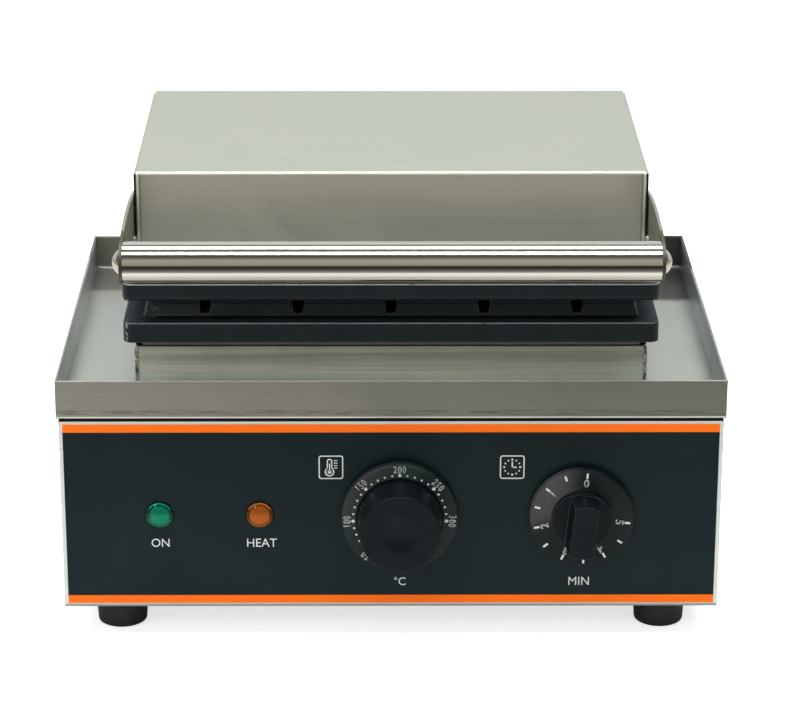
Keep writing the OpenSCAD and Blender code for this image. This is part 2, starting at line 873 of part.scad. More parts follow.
module tray_studs() {
    color("gainsboro")
        at_tray_studs(casing_top - sheet_t - nut_h - thread_out)
            cylinder(d = bolt_d, h = seal_t + sheet_t + nut_h + thread_out);
}

module tray_grommet() {
    color("dimgray")
        translate([0, grommet_y, tray_z])
            wiring_bush();
}

module riser() {
    color("silver")
        difference() {
            ring(riser_w, riser_d, sheet_t, tray_floor, riser_top, unit_y);
            at_bracket_screws(riser_rear + cut)
                cylinder(d = bolt_d + 2 * hole_clear, h = sheet_t + 2 * cut);
        }
}

// The frame stands on a narrower foot, which leaves a shadow groove above the riser
module lower_frame() {
    color("lightgray") {
        ring(riser_w, riser_d, frame_w, riser_top + groove_h, frame_top, unit_y);
        ring(riser_w - 2 * groove_d, riser_d - 2 * groove_d, frame_w - groove_d,
            riser_top, riser_top + groove_h, unit_y);
    }
}

// Cooking plates: drawn with the parting plane at z = 0 and the metal below it

module plate_flange(flange_t, edge_r) {
    low = -block_h - flange_t;
    intersection() {
        along_y(plate_front, plate_rear)
            translate([0, low])
                round_top(plate_w, flange_t, edge_r);
        along_x(-plate_w / 2, plate_w / 2)
            translate([unit_y, low])
                round_top(plate_d, flange_t, edge_r);
        union() {
            box([-plate_w / 2 + plate_corner_r, plate_front, low],
                [plate_w / 2 - plate_corner_r, plate_rear, 0]);
            box([-plate_w / 2, plate_front + plate_corner_r, low],
                [plate_w / 2, plate_rear - plate_corner_r, 0]);
            for (s = [-1, 1])
                for (y = [plate_front + plate_corner_r, plate_rear - plate_corner_r])
                    rod_z(s * (plate_w / 2 - plate_corner_r), y, low, 0, 2 * plate_corner_r);
        }
    }
}

// Outline of the drafted block, from its half width at the foot
module drafted(half) {
    polygon([[-half, -block_h], [half, -block_h], [half - draft_run, 0], [-half + draft_run, 0]]);
}

module mould_block() {
    intersection() {
        along_y(plate_front, plate_rear)
            drafted(plate_w / 2 - block_side_inset);
        along_x(-plate_w / 2, plate_w / 2)
            translate([unit_y, 0])
                drafted(plate_d / 2 - block_end_inset);
    }
}

module trough() {
    rod_y(0, -mould_half_run, mould_half_run, 0, 2 * mould_r);
    for (s = [-1, 1])
        translate([0, s * mould_half_run, 0])
            sphere(mould_r);
}

module stick_groove() {
    along_y(plate_front - cut, mould_y)
        polygon([
            [-stick_floor_w / 2, -stick_depth], [stick_floor_w / 2, -stick_depth],
            [stick_w / 2, 0], [stick_w / 2, cut], [-stick_w / 2, cut], [-stick_w / 2, 0]
        ]);
}

module casting(flange_t, edge_r) {
    color("#202326")
        difference() {
            union() {
                plate_flange(flange_t, edge_r);
                mould_block();
            }
            for (x = mould_xs) {
                translate([x, mould_y, mould_r - mould_depth])
                    trough();
                translate([x, 0, 0])
                    stick_groove();
            }
            at_studs(-block_h - flange_t - cut)
                cylinder(d = bolt_d + 2 * fit_clear, h = stud_bite + cut);
        }
}

module lower_plate() {
    translate([0, 0, parting_z])
        casting(lower_flange_t, lower_edge_r);
}

module upper_plate() {
    translate([0, 0, upper_parting])
        mirror([0, 0, 1])
            casting(upper_flange_t, upper_edge_r);
}

// Heating: four runs joined by three bends, with a pin at each end

module element() {
    bend = run_pitch / 2;
    for (s = [-1, 1]) {
        rod_y(s * 3 * bend, -bend_y, outer_run_end, 0, element_d);
        rod_y(s * 3 * bend, outer_run_end - element_d / 2, outer_run_end + pin_len, 0, pin_d);
        rod_y(s * bend, -bend_y, bend_y, 0, element_d);
        translate([s * run_pitch, -bend_y, 0])
            rotate([0, 0, 180])
                rotate_extrude(angle = 180)
                    translate([bend, 0])
                        circle(d = element_d);
    }
    translate([0, bend_y, 0])
        rotate_extrude(angle = 180)
            translate([bend, 0])
                circle(d = element_d);
}

module lower_element() {
    color("dimgray")
        translate([0, unit_y, lower_element_z])
            element();
}

module upper_element() {
    color("dimgray")
        translate([0, unit_y, upper_element_z])
            element();
}

module lower_clamp_bars() {
    color("gainsboro")
        difference() {
            for (y = [front_bar_y, rear_bar_y])
                box([-bar_half_len, y - bar_w / 2, lower_bar_top - bar_t],
                    [bar_half_len, y + bar_w / 2, lower_bar_top]);
            at_studs(lower_bar_top - bar_t - cut)
                cylinder(d = bolt_d + 2 * hole_clear, h = bar_t + 2 * cut);
        }
}

module lower_studs() {
    color("gainsboro")
        at_studs(tray_z - nut_h - thread_out)
            cylinder(d = bolt_d, h = frame_top + stud_bite - tray_z + nut_h + thread_out);
}

// Nuts of the feet, tray studs, plate studs, clamp bars and hinge brackets
module base_nuts() {
    color("gainsboro") {
        at_feet()
            translate([0, 0, casing_z + sheet_t])
                bolt_nut();
        at_tray_studs(casing_top - sheet_t - nut_h)
            bolt_nut();
        at_studs(tray_z - nut_h)
            bolt_nut();
        at_studs(lower_bar_top - bar_t - nut_h)
            bolt_nut();
        at_bracket_screws(riser_rear - sheet_t)
            bolt_nut();
    }
}

module lower_insulation() {
    half_w = riser_w / 2 - pad_gap;
    half_d = riser_d / 2 - pad_gap;
    color("ivory")
        difference() {
            box([-half_w, unit_y - half_d, tray_floor], [half_w, unit_y + half_d, tray_floor + lower_pad_t]);
            at_studs(tray_floor - cut)
                cylinder(d = bolt_d + 2 * hole_clear, h = lower_pad_t + 2 * cut);
            rod_z(0, grommet_y, tray_floor - cut, tray_floor + lower_pad_t + cut,
                grommet_rim_d + 2 * hole_clear);
        }
}

// Controls

// Cut from a control: the shaft's blind bore and the two screw holes
module control_bores(x) {
    rod_y(x, front_y - neck_out - cut, panel_back + shaft_sink + body_clear, dial_z, shaft_d + 2 * run_clear);
    at_control_screws()
        cylinder(d = control_screw_d + 2 * fit_clear, h = sheet_t + control_screw_len);
}

module thermostat_body() {
    color("lightgray")
        difference() {
            union() {
                box([thermostat_x - thermostat_w / 2, panel_back, dial_z - thermostat_h / 2],
                    [thermostat_x + thermostat_w / 2, panel_back + thermostat_depth,
                        dial_z + thermostat_h / 2]);
                rod_y(thermostat_x, front_y - neck_out, panel_back, dial_z, neck_d);
            }
            control_bores(thermostat_x);
        }
}

module timer_body() {
    color("lightgray")
        difference() {
            union() {
                rod_y(timer_x, panel_back, panel_back + timer_depth, dial_z, timer_d);
                rod_y(timer_x, front_y - neck_out, panel_back, dial_z, neck_d);
            }
            control_bores(timer_x);
        }
}

// The bulb lies under the lower plate, and its capillary runs down to the thermostat
module thermostat_bulb() {
    bulb_end = grommet_y - grommet_bore_d / 2;
    tail = [0, bulb_end, lower_element_z];
    above = [0, grommet_y, lower_element_z];
    below = [0, grommet_y, capillary_z];
    inlet = [thermostat_x, panel_back + thermostat_depth, dial_z];
    color("peru") {
        rod_y(0, bulb_end - bulb_len, bulb_end, lower_element_z, bulb_d);
        rod_between(tail, above, capillary_d);
        rod_between(below, above, capillary_d);
        rod_between(below, inlet, capillary_d);
        for (p = [above, below])
            translate(p)
                sphere(d = capillary_joint_d);
    }
}

module control_screws() {
    color("gainsboro")
        at_control_screws()
            screw(control_screw_d, sheet_t + control_screw_len, control_head_d, control_head_h);
}

// A turned shaft, with a flat where the dial grips it
module control_shaft(x, turn) {
    color("gainsboro")
        difference() {
            rod_y(x, dial_back - shaft_grip, panel_back + shaft_sink, dial_z, shaft_d);
            at_dial(x, turn)
                translate([-shaft_d / 2, shaft_d / 2 - shaft_flat, 0])
                    cube([shaft_d, shaft_d, shaft_grip + cut]);
        }
}

// The hole in a dial for the shaft and its flat
module shaft_hole() {
    hole_r = shaft_d / 2 + fit_clear;
    translate([0, 0, -cut])
        linear_extrude(shaft_grip + body_clear + cut)
            difference() {
                circle(hole_r);
                translate([-hole_r, shaft_d / 2 - shaft_flat + fit_clear])
                    square(2 * hole_r);
            }
}

module thermostat_shaft() {
    control_shaft(thermostat_x, 0);
}

module timer_shaft() {
    control_shaft(timer_x, timer_rest);
}

// A dial's skirt, with its rim chamfered in front and carried back to the panel
module skirt(d) {
    difference() {
        translate([0, 0, -skirt_lip])
            cylinder(d = d, h = skirt_lip + skirt_t - skirt_bevel);
        translate([0, 0, -skirt_lip - cut])
            cylinder(d = d - 2 * skirt_lip_w, h = skirt_lip + cut);
    }
    translate([0, 0, skirt_t - skirt_bevel])
        cylinder(d1 = d, d2 = d - 2 * skirt_bevel, h = skirt_bevel);
}

module thermostat_knob() {
    color("#1a1a1a")
        at_dial(thermostat_x, 0)
            difference() {
                union() {
                    skirt(thermostat_skirt_d);
                    translate([0, 0, skirt_t])
                        cylinder(d1 = thermostat_grip_d, d2 = thermostat_face_d,
                            h = thermostat_knob_h - skirt_t - face_bevel);
                    translate([0, 0, thermostat_knob_h - face_bevel])
                        cylinder(d1 = thermostat_face_d, d2 = thermostat_face_d - 2 * face_bevel,
                            h = face_bevel);
                }
                shaft_hole();
                translate([0, 0, thermostat_knob_h])
                    mirror([0, 0, 1])
                        dome(dimple_d, dimple_depth);
            }
}

module timer_knob() {
    color("#1a1a1a")
        at_dial(timer_x, timer_rest)
            difference() {
                union() {
                    skirt(timer_skirt_d);
                    translate([0, 0, skirt_t])
                        cylinder(d = timer_boss_d, h = timer_boss_h - skirt_t);
                    intersection() {
                        translate([0, 0, timer_boss_h])
                            cylinder(d = timer_bar_len, h = timer_knob_h - timer_boss_h);
                        translate([-timer_bar_w / 2, -timer_bar_len, timer_boss_h])
                            cube([timer_bar_w, 2 * timer_bar_len, timer_knob_h]);
                    }
                }
                shaft_hole();
            }
}

// Lamps

module lens(x) {
    translate([x, front_y - film_t, dial_z])
        rotate([90, 0, 0]) {
            cylinder(d = lens_d, h = lens_rim_h);
            translate([0, 0, lens_rim_h])
                cylinder(d1 = lens_d, d2 = lens_disc_d, h = lens_h - lens_rim_h);
        }
}

module power_lamp_lens() {
    color("seagreen")
        lens(power_lamp_x);
}

module heat_lamp_lens() {
    color("darkorange")
        lens(heat_lamp_x);
}

module lamp_bodies() {
    color("white")
        for (x = [power_lamp_x, heat_lamp_x])
            rod_y(x, front_y - film_t, panel_back + lamp_len, dial_z, lamp_d);
}

// Nuts behind the panels, on the lamps and on the cable gland
module panel_nuts() {
    color("gainsboro") {
        for (x = [power_lamp_x, heat_lamp_x])
            translate([x, panel_back, dial_z])
                rotate([-90, 0, 0])
                    nut(lamp_nut_af, lamp_nut_h, lamp_d + 2 * fit_clear);
        translate([gland_x, rear_y - sheet_t, gland_z])
            rotate([90, 0, 0])
                nut(gland_af, gland_hex_h, gland_thread_d + 2 * fit_clear);
    }
}

// Wiring

module terminal_block() {
    y0 = terminal_y - terminal_d / 2;
    y1 = terminal_y + terminal_d / 2;
    low = casing_z + sheet_t;
    color("ivory")
        difference() {
            box([terminal_x - terminal_w / 2, y0, low], [terminal_x + terminal_w / 2, y1, low + terminal_h]);
            for (i = [-1:1])
                rod_y(terminal_x + i * terminal_pitch, y0 - cut, y1 + cut, low + terminal_hole_rise,
                    terminal_hole_d);
            for (x = terminal_xs)
                rod_z(x, terminal_y, low - cut, low + tapping_len, tapping_d + 2 * fit_clear);
        }
}

// The gland: thread inside, hexagon and cap outside, and a clear bore for a mains lead
module cable_gland() {
    color("dimgray")
        difference() {
            union() {
                rod_y(gland_x, rear_y - sheet_t - gland_thread_len, rear_y, gland_z, gland_thread_d);
                translate([gland_x, rear_y, gland_z])
                    rotate([-90, 0, 0]) {
                        cylinder(d = gland_af / cos(30), h = gland_hex_h, $fn = 6);
                        translate([0, 0, gland_hex_h])
                            cylinder(d = gland_cap_d, h = gland_cap_len);
                    }
            }
            rod_y(gland_x, rear_y - sheet_t - gland_thread_len - cut, gland_rear + cut, gland_z,
                gland_bore_d);
        }
}

module base_wiring_bush() {
    color("dimgray")
        translate([conduit_x, rear_y, conduit_z])
            rotate([90, 0, 0])
                wiring_bush();
}

module lid_wiring_bush() {
    color("dimgray")
        translate([conduit_x, hood_rear, hood_conduit_z])
            rotate([90, 0, 0])
                wiring_bush();
}

// Hinge

// Outline of a bracket in the YZ plane
module bracket_outline() {
    polygon([
        [riser_rear, bracket_low], [riser_rear, bracket_high],
        [plate_rear + hinge_gap, frame_top - groove_d],
        [plate_rear + hinge_gap, frame_top + lower_flange_t],
        [hinge_y - ear_r, hinge_z], [hinge_y, hinge_z], [stop_y, stop_z],
        [stop_y + stop_d, stop_z], [riser_rear + wing_w, bracket_low]
    ]);
    translate([hinge_y, hinge_z])
        circle(ear_r);
    translate([stop_y, stop_z])
        circle(stop_d);
}

// Brackets on the riser's rear, each with the pin that stops the open lid
module hinge_brackets() {
    color("silver")
        difference() {
            both_sides() {
                along_x(bracket_x, hinge_spread)
                    bracket_outline();
                box([hinge_spread - wing_w, riser_rear, bracket_low],
                    [hinge_spread, riser_rear + bracket_t, bracket_high]);
                rod_x(ear_x - body_clear, hinge_spread, stop_y, stop_z, stop_d);
            }
            rod_x(-hinge_spread - cut, hinge_spread + cut, hinge_y, hinge_z, axle_d + 2 * fit_clear);
            at_bracket_screws(riser_rear + bracket_t + cut)
                cylinder(d = bolt_d + 2 * hole_clear, h = bracket_t + 2 * cut);
        }
}

module bracket_screws() {
    color("gainsboro")
        at_bracket_screws(riser_rear + bracket_t)
            screw(bolt_d, bracket_t + sheet_t + nut_h + thread_out, head_d, head_h);
}

module hinge_axle() {
    half = hinge_spread + axle_nut_h;
    color("gainsboro")
        rod_x(-half, half, hinge_y, hinge_z, axle_d);
}

module axle_nuts() {
    color("gainsboro")
        both_sides()
            translate([hinge_spread, hinge_y, hinge_z])
                rotate([0, 90, 0])
                    nut(axle_nut_af, axle_nut_h, axle_d + 2 * fit_clear);
}

// Outline of an ear in the YZ plane
module ear_outline() {
    polygon([
        [hood_rear, ear_bottom], [hood_rear, ear_top],
        [hinge_y + ear_r * cos(ear_edge_turn), hinge_z + ear_r * sin(ear_edge_turn)],
        [hinge_y, hinge_z], [hinge_y - ear_r, hinge_z],
        [plate_rear + hinge_gap, upper_top + hinge_gap]
    ]);
    translate([hinge_y, hinge_z])
        circle(ear_r);
}

module hinge_ears() {
    color("silver")
        difference() {
            both_sides() {
                along_x(ear_x, ear_x + ear_t)
                    ear_outline();
                box([ear_x + ear_t - wing_w, hood_rear, ear_bottom],
                    [ear_x + ear_t, hood_rear + ear_t, ear_top]);
            }
            rod_x(-hinge_spread, hinge_spread, hinge_y, hinge_z, axle_d + 2 * bush_wall + 2 * fit_clear);
            at_ear_screws(hood_rear + ear_t + cut)
                cylinder(d = bolt_d + 2 * hole_clear, h = ear_t + 2 * cut);
        }
}

module ear_screws() {
    color("gainsboro")
        at_ear_screws(hood_rear + ear_t)
            screw(bolt_d, ear_t + sheet_t + nut_h + thread_out, head_d, head_h);
}

// Flanged bushes in the ears, which turn on the axle
module hinge_bushes() {
    flange_x = ear_x + ear_t;
    color("goldenrod")
        difference() {
            both_sides() {
                rod_x(flange_x - bush_len, flange_x, hinge_y, hinge_z, axle_d + 2 * bush_wall);
                rod_x(flange_x, flange_x + bush_flange_t, hinge_y, hinge_z, 2 * ear_r);
            }
            rod_x(-hinge_spread, hinge_spread, hinge_y, hinge_z, axle_d + 2 * run_clear);
        }
}

// Hood

// The cover's front, top and rear, folded from one sheet
module hood_cover() {
    color("silver")
        difference() {
            along_x(-end_x, end_x)
                translate([hood_y, upper_top])
                    difference() {
                        round_top(hood_d, hood_h, hood_bend_r);
                        translate([0, -cut])
                            round_top(hood_d - 2 * sheet_t, hood_h - sheet_t + cut, hood_bend_r - sheet_t);
                    }
            at_ear_screws(hood_rear + cut)
                cylinder(d = bolt_d + 2 * hole_clear, h = sheet_t + 2 * cut);
            rod_y(conduit_x, hood_rear - sheet_t - cut, hood_rear + cut, hood_conduit_z, grommet_hole_d);
        }
}

module hood_end() {
    color("silver")
        difference() {
            box([end_x, hood_front + end_setback, upper_top],
                [end_x + sheet_t, hood_rear - end_setback, hood_top - end_setback]);
            for (y = hood_screw_ys)
                rod_x(end_x - cut, end_x + sheet_t + cut, y, hood_screw_z, bolt_d + 2 * hole_clear);
        }
}

module right_hood_end() {
    hood_end();
}

module left_hood_end() {
    mirror([1, 0, 0])
        hood_end();
}

// Bars across the hood, turned up at their ends, that clamp the element and carry the plate
module bridge_bars() {
    tab_top = hood_screw_z + head_d;
    color("gainsboro")
        difference() {
            for (y = [front_bar_y, rear_bar_y]) {
                box([-end_x, y - bar_w / 2, bridge_z], [end_x, y + bar_w / 2, bridge_top]);
                both_sides()
                    box([end_x - bar_t, y - bar_w / 2, bridge_z], [end_x, y + bar_w / 2, tab_top]);
            }
            at_studs(bridge_z - cut)
                cylinder(d = bolt_d + 2 * hole_clear, h = bar_t + 2 * cut);
            for (y = [front_bar_y, rear_bar_y])
                rod_x(-hood_w, hood_w, y, hood_screw_z, bolt_d + 2 * hole_clear);
        }
}

module upper_studs() {
    color("gainsboro")
        at_studs(upper_top - stud_bite)
            cylinder(d = bolt_d, h = bridge_top + nut_h + thread_out - upper_top + stud_bite);
}

// Screws through the hood ends: heads outside, nuts on the bars' tabs or on the sheet
module hood_screws() {
    grip = arm_t + sheet_t + bar_t + nut_h + thread_out;
    color("gainsboro")
        both_sides()
            for (y = hood_screw_ys)
                translate([arm_x + (y == rear_bar_y ? 0 : arm_t), y, hood_screw_z])
                    rotate([0, -90, 0])
                        screw(bolt_d, y == rear_bar_y ? grip - arm_t : grip, head_d, head_h);
}

module lid_nuts() {
    color("gainsboro") {
        at_studs(bridge_top)
            bolt_nut();
        at_ear_screws(hood_rear - sheet_t)
            bolt_nut();
        both_sides()
            for (y = hood_screw_ys)
                translate([end_x - (y == arm_screw_y ? 0 : bar_t), y, hood_screw_z])
                    rotate([0, -90, 0])
                        bolt_nut();
    }
}

module upper_insulation() {
    half_w = end_x - bar_t - pad_gap;
    color("ivory")
        difference() {
            box([-half_w, hood_front + pad_gap, bridge_top], [half_w, hood_rear - pad_gap, bridge_top + upper_pad_t]);
            at_studs(bridge_top - cut)
                cylinder(d = nut_af / cos(30) + 2 * hole_clear, h = upper_pad_t + 2 * cut);
        }
}

// Handle

// Outline of an arm in the YZ plane: a round front end and a bowed upper edge
module arm_outline() {
    back = hood_front + arm_len;
    translate([handle_y, handle_z])
        circle(arm_end_r);
    intersection() {
        translate([crown_y, crown_z])
            circle(arm_crown_r);
        polygon([
            [handle_y, handle_z], [handle_y, handle_z - arm_end_r],
            [hood_front, handle_z - arm_drop], [back, handle_z - arm_drop],
            [back, hood_top], [crown_join, hood_top]
        ]);
    }
}

module handle_arm() {
    color("silver")
        difference() {
            along_x(arm_x, arm_x + arm_t)
                arm_outline();
            rod_x(arm_x - cut, arm_x + arm_t + cut, handle_y, handle_z, bolt_d + 2 * hole_clear);
            for (y = [arm_screw_y, front_bar_y])
                rod_x(arm_x - cut, arm_x + arm_t + cut, y, hood_screw_z, bolt_d + 2 * hole_clear);
            rod_x(arm_x - cut, arm_x + arm_t + cut, hood_front - rivet_reach, handle_z - rivet_drop,
                rivet_d + 2 * fit_clear);
        }
}

module right_handle_arm() {
    handle_arm();
}

module left_handle_arm() {
    mirror([1, 0, 0])
        handle_arm();
}

// The tube, with a plug welded into each end and tapped for a dome screw
module handle_tube() {
    color("whitesmoke")
        difference() {
            rod_x(-arm_x, arm_x, handle_y, handle_z, handle_d);
            rod_x(-arm_x + plug_len, arm_x - plug_len, handle_y, handle_z, handle_d - 2 * handle_wall);
            rod_x(-arm_x - cut, arm_x + cut, handle_y, handle_z, bolt_d + 2 * fit_clear);
        }
}

module handle_screws() {
    color("whitesmoke")
        both_sides()
            translate([arm_x + arm_t, handle_y, handle_z]) {
                rotate([0, 90, 0])
                    dome(dome_d, dome_h);
                rotate([0, -90, 0])
                    cylinder(d = bolt_d, h = arm_t + plug_len - thread_out);
            }
}

module arm_rivets() {
    color("gainsboro")
        both_sides()
            translate([arm_x, hood_front - rivet_reach, handle_z - rivet_drop])
                rotate([0, 90, 0]) {
                    cylinder(d = rivet_d, h = arm_t);
                    mirror([0, 0, 1])
                        dome(rivet_head_d, rivet_head_h);
                    translate([0, 0, arm_t])
                        dome(rivet_head_d, rivet_head_h);
                }
}

// A piece moved into the part's frame
module in_frame() {
    translate([0, -middle_y, 0])
        children();
}

in_frame() front_panel();
in_frame() rear_panel();
in_frame() left_side_panel();
in_frame() right_side_panel();
in_frame() bottom_plate();
in_frame() panel_film();
in_frame() rubber_feet();
in_frame() foot_screws();
in_frame() base_screws();
in_frame() tray_seal();
in_frame() drip_tray();
in_frame() tray_studs();
in_frame() tray_grommet();
in_frame() riser();
in_frame() lower_frame();
in_frame() lower_plate();
in_frame() lower_element();
in_frame() lower_clamp_bars();
in_frame() lower_studs();
in_frame() base_nuts();
in_frame() lower_insulation();
in_frame() thermostat_body();
in_frame() thermostat_bulb();
in_frame() timer_body();
in_frame() control_screws();
in_frame() power_lamp_lens();
in_frame() heat_lamp_lens();
in_frame() lamp_bodies();
in_frame() panel_nuts();
in_frame() terminal_block();
in_frame() cable_gland();
in_frame() base_wiring_bush();
in_frame() hinge_brackets();
in_frame() bracket_screws();
in_frame() hinge_axle();
in_frame() axle_nuts();
in_frame() thermostat_shaft();
in_frame() thermostat_knob();
in_frame() timer_shaft();
in_frame() timer_knob();
in_frame() hood_cover();
in_frame() left_hood_end();
in_frame() right_hood_end();
in_frame() hinge_ears();
in_frame() ear_screws();
in_frame() hinge_bushes();
in_frame() upper_plate();
in_frame() upper_element();
in_frame() bridge_bars();
in_frame() upper_studs();
in_frame() lid_nuts();
in_frame() upper_insulation();
in_frame() left_handle_arm();
in_frame() right_handle_arm();
in_frame() handle_tube();
in_frame() handle_screws();
in_frame() hood_screws();
in_frame() arm_rivets();
in_frame() lid_wiring_bush();
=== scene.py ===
import math

import bmesh
import bpy
from mathutils import Matrix, Vector, noise


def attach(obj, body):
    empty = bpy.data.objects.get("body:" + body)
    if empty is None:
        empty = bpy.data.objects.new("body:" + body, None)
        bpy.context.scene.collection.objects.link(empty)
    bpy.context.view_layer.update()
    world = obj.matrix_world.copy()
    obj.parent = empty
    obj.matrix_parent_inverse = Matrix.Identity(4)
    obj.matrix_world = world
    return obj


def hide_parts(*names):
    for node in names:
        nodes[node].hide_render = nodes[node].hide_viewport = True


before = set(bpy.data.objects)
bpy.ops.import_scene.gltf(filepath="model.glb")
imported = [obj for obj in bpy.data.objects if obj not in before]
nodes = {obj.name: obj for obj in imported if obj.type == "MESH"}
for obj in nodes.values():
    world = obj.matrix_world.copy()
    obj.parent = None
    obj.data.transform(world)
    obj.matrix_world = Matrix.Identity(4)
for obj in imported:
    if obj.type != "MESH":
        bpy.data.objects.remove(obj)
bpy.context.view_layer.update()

MM = 0.001
FRONT = Vector((0, -1, 0))

# Places taken from the construction, in millimetres
FILM_Y = -96.65
STRIPE_ZS = (25.6, 116.0)
PANEL_ZS = (19.2, 122.2)
DIAL_Z = 70.8
THERMOSTAT_X = 4.4
TIMER_X = 97.5
TIMER_REST = 6.0
POWER_X = -118.8
HEAT_X = -67.4
RISER_X = 130.0
RISER_YS = (-76.25, 77.75)
LID_PLATE_TOP = 190.6
LOWER_FLANGE_TOP = 169.8
UPPER_FLANGE_FOOT = 181.1
PLATE_X = 136.0
PLATE_FRONT = -82.25
HOOD_X = 127.8
HOOD_FRONT = -75.25
HOOD_TOP = 247.4
HANDLE_Y = -149.25
TRAY_X = 170.0
TRAY_FRONT = -97.25
TRAY_REAR = 142.75
TRAY_FOOT = 123.7
FOOT_XS = (-141.5, 141.5)
FOOT_YS = (-68.75, 114.25)
FOOT_H = 19.2

# Dials, in millimetres: radii from the dial's axis, heights from the back of its skirt
SKIRT_BACK_Y = -99.65
SKIRT_T = 2.8
SKIRT_WALL = 3.0
SKIRT_LIP = 2.0
SKIRT_CHAMFER = 0.9
SHAFT_R = 3.2
SHAFT_DEPTH = 12.6
THERMOSTAT_SKIRT_R = 29.7
GROOVE_R = 22.2
GROOVE_H = 1.6
GRIP_FOOT_R = 21.8
GRIP_TOP_R = 20.6
GRIP_H = 23.8
GRIP_EDGE = 0.4
DIMPLE_R = 10.5
DIMPLE_DEPTH = 1.6
DIMPLE_STEPS = 6
TIMER_SKIRT_R = 26.6
TIMER_BOSS_R = 15.65
TIMER_BOSS_H = 7.0
BAR_R = 14.35
BAR_HALF = 6.1
BAR_HS = (6.8, 22.5)

# Turns of the scales, in degrees
TURN_PER_TEN = 9.3
OFF_TURN = -159.0
TURN_PER_HALF_MINUTE = 27.0

# Scales: their ends, the ten that stands at the top, and the radii of their rows in millimetres
FIRST_TEN = 5
TOP_TEN = 20
LAST_TEN = 30
LAST_HALF_MINUTE = 10
DOTS_R = 23.9
NUMBERS_R = 26.9
OFF_DOT_R = 25.6
TIMER_BARS_R = 23.5
TIMER_NUMBERS_R = 19.4

# Print, in millimetres
PRINT_T = 0.03
WORD_H = 4.6
LAMP_WORDS_Z = 55.1
DIAL_WORDS_Z = 33.4
PICTURE_Z = 96.9
THERMOMETER_X = -30.7
CLOCK_X = 61.8

# Near edge of the dark cloth on the table, in metres
FLAG_EDGE = -0.37


# Camera, room and light

def set_camera():
    data = bpy.data.cameras.new("photo_camera")
    data.sensor_fit = "HORIZONTAL"
    data.sensor_width = 36.0
    data.lens = 137.2
    data.clip_end = 50.0
    camera = bpy.data.objects.new("photo_camera", data)
    data.shift_x = 0.0248
    camera.location = (-0.010, -1.53625, 0.6829)
    camera.rotation_euler = (math.radians(70.0), 0.0, math.radians(-0.166))
    bpy.context.collection.objects.link(camera)
    bpy.context.scene.camera = camera


# Node helpers

def at(x, y, z):
    return Vector((x, y, z)) * MM


def feed(tree, socket, value):
    if isinstance(value, bpy.types.NodeSocket):
        tree.links.new(value, socket)
    else:
        socket.default_value = value


def add(tree, kind, sockets=None, **settings):
    made = tree.nodes.new(kind)
    for name, value in settings.items():
        setattr(made, name, value)
    for name, value in (sockets or {}).items():
        feed(tree, made.inputs[name], value)
    return made


def calc(tree, operation, first, second=0.0, clamp=False):
    made = add(tree, "ShaderNodeMath", operation=operation, use_clamp=clamp)
    feed(tree, made.inputs[0], first)
    feed(tree, made.inputs[1], second)
    return made.outputs[0]


def times(tree, first, second):
    return calc(tree, "MULTIPLY", first, second)


def span(tree, value, low, high, start=0.0, end=1.0):
    made = add(tree, "ShaderNodeMapRange", interpolation_type="SMOOTHSTEP")
    for socket, given in zip(made.inputs, (value, low, high, start, end)):
        feed(tree, socket, given)
    return made.outputs[0]


# Soft steps between places in millimetres

def fade(tree, value, start, end, low=0.0, high=1.0):
    return span(tree, value, start * MM, end * MM, low, high)


def band(tree, value, low, high, soft):
    return times(tree, fade(tree, value, low - soft, low + soft), fade(tree, value, high + soft, high - soft))


def shade(tree, factor, first, second):
    made = add(tree, "ShaderNodeMix", data_type="RGBA")
    for index, given in ((0, factor), (6, first), (7, second)):
        feed(tree, made.inputs[index], given)
    return made.outputs[2]


def blend_vectors(tree, factor, first, second):
    made = add(tree, "ShaderNodeMix", data_type="VECTOR")
    for index, given in ((0, factor), (4, first), (5, second)):
        feed(tree, made.inputs[index], given)
    return made.outputs[1]


def split(tree, vector):
    return add(tree, "ShaderNodeSeparateXYZ", {"Vector": vector}).outputs


def join(tree, x, y, z):
    return add(tree, "ShaderNodeCombineXYZ", {"X": x, "Y": y, "Z": z}).outputs[0]


def vector_math(tree, operation, first, second):
    made = add(tree, "ShaderNodeVectorMath", operation=operation)
    feed(tree, made.inputs[0], first)
    feed(tree, made.inputs[1], second)
    return made


def tone_of(colour, part=1.0):
    return (*[c * part for c in colour], 1.0)


def grey(value, warm=0.0):
    return (value * (1 + warm), value, value * (1 - warm), 1.0)


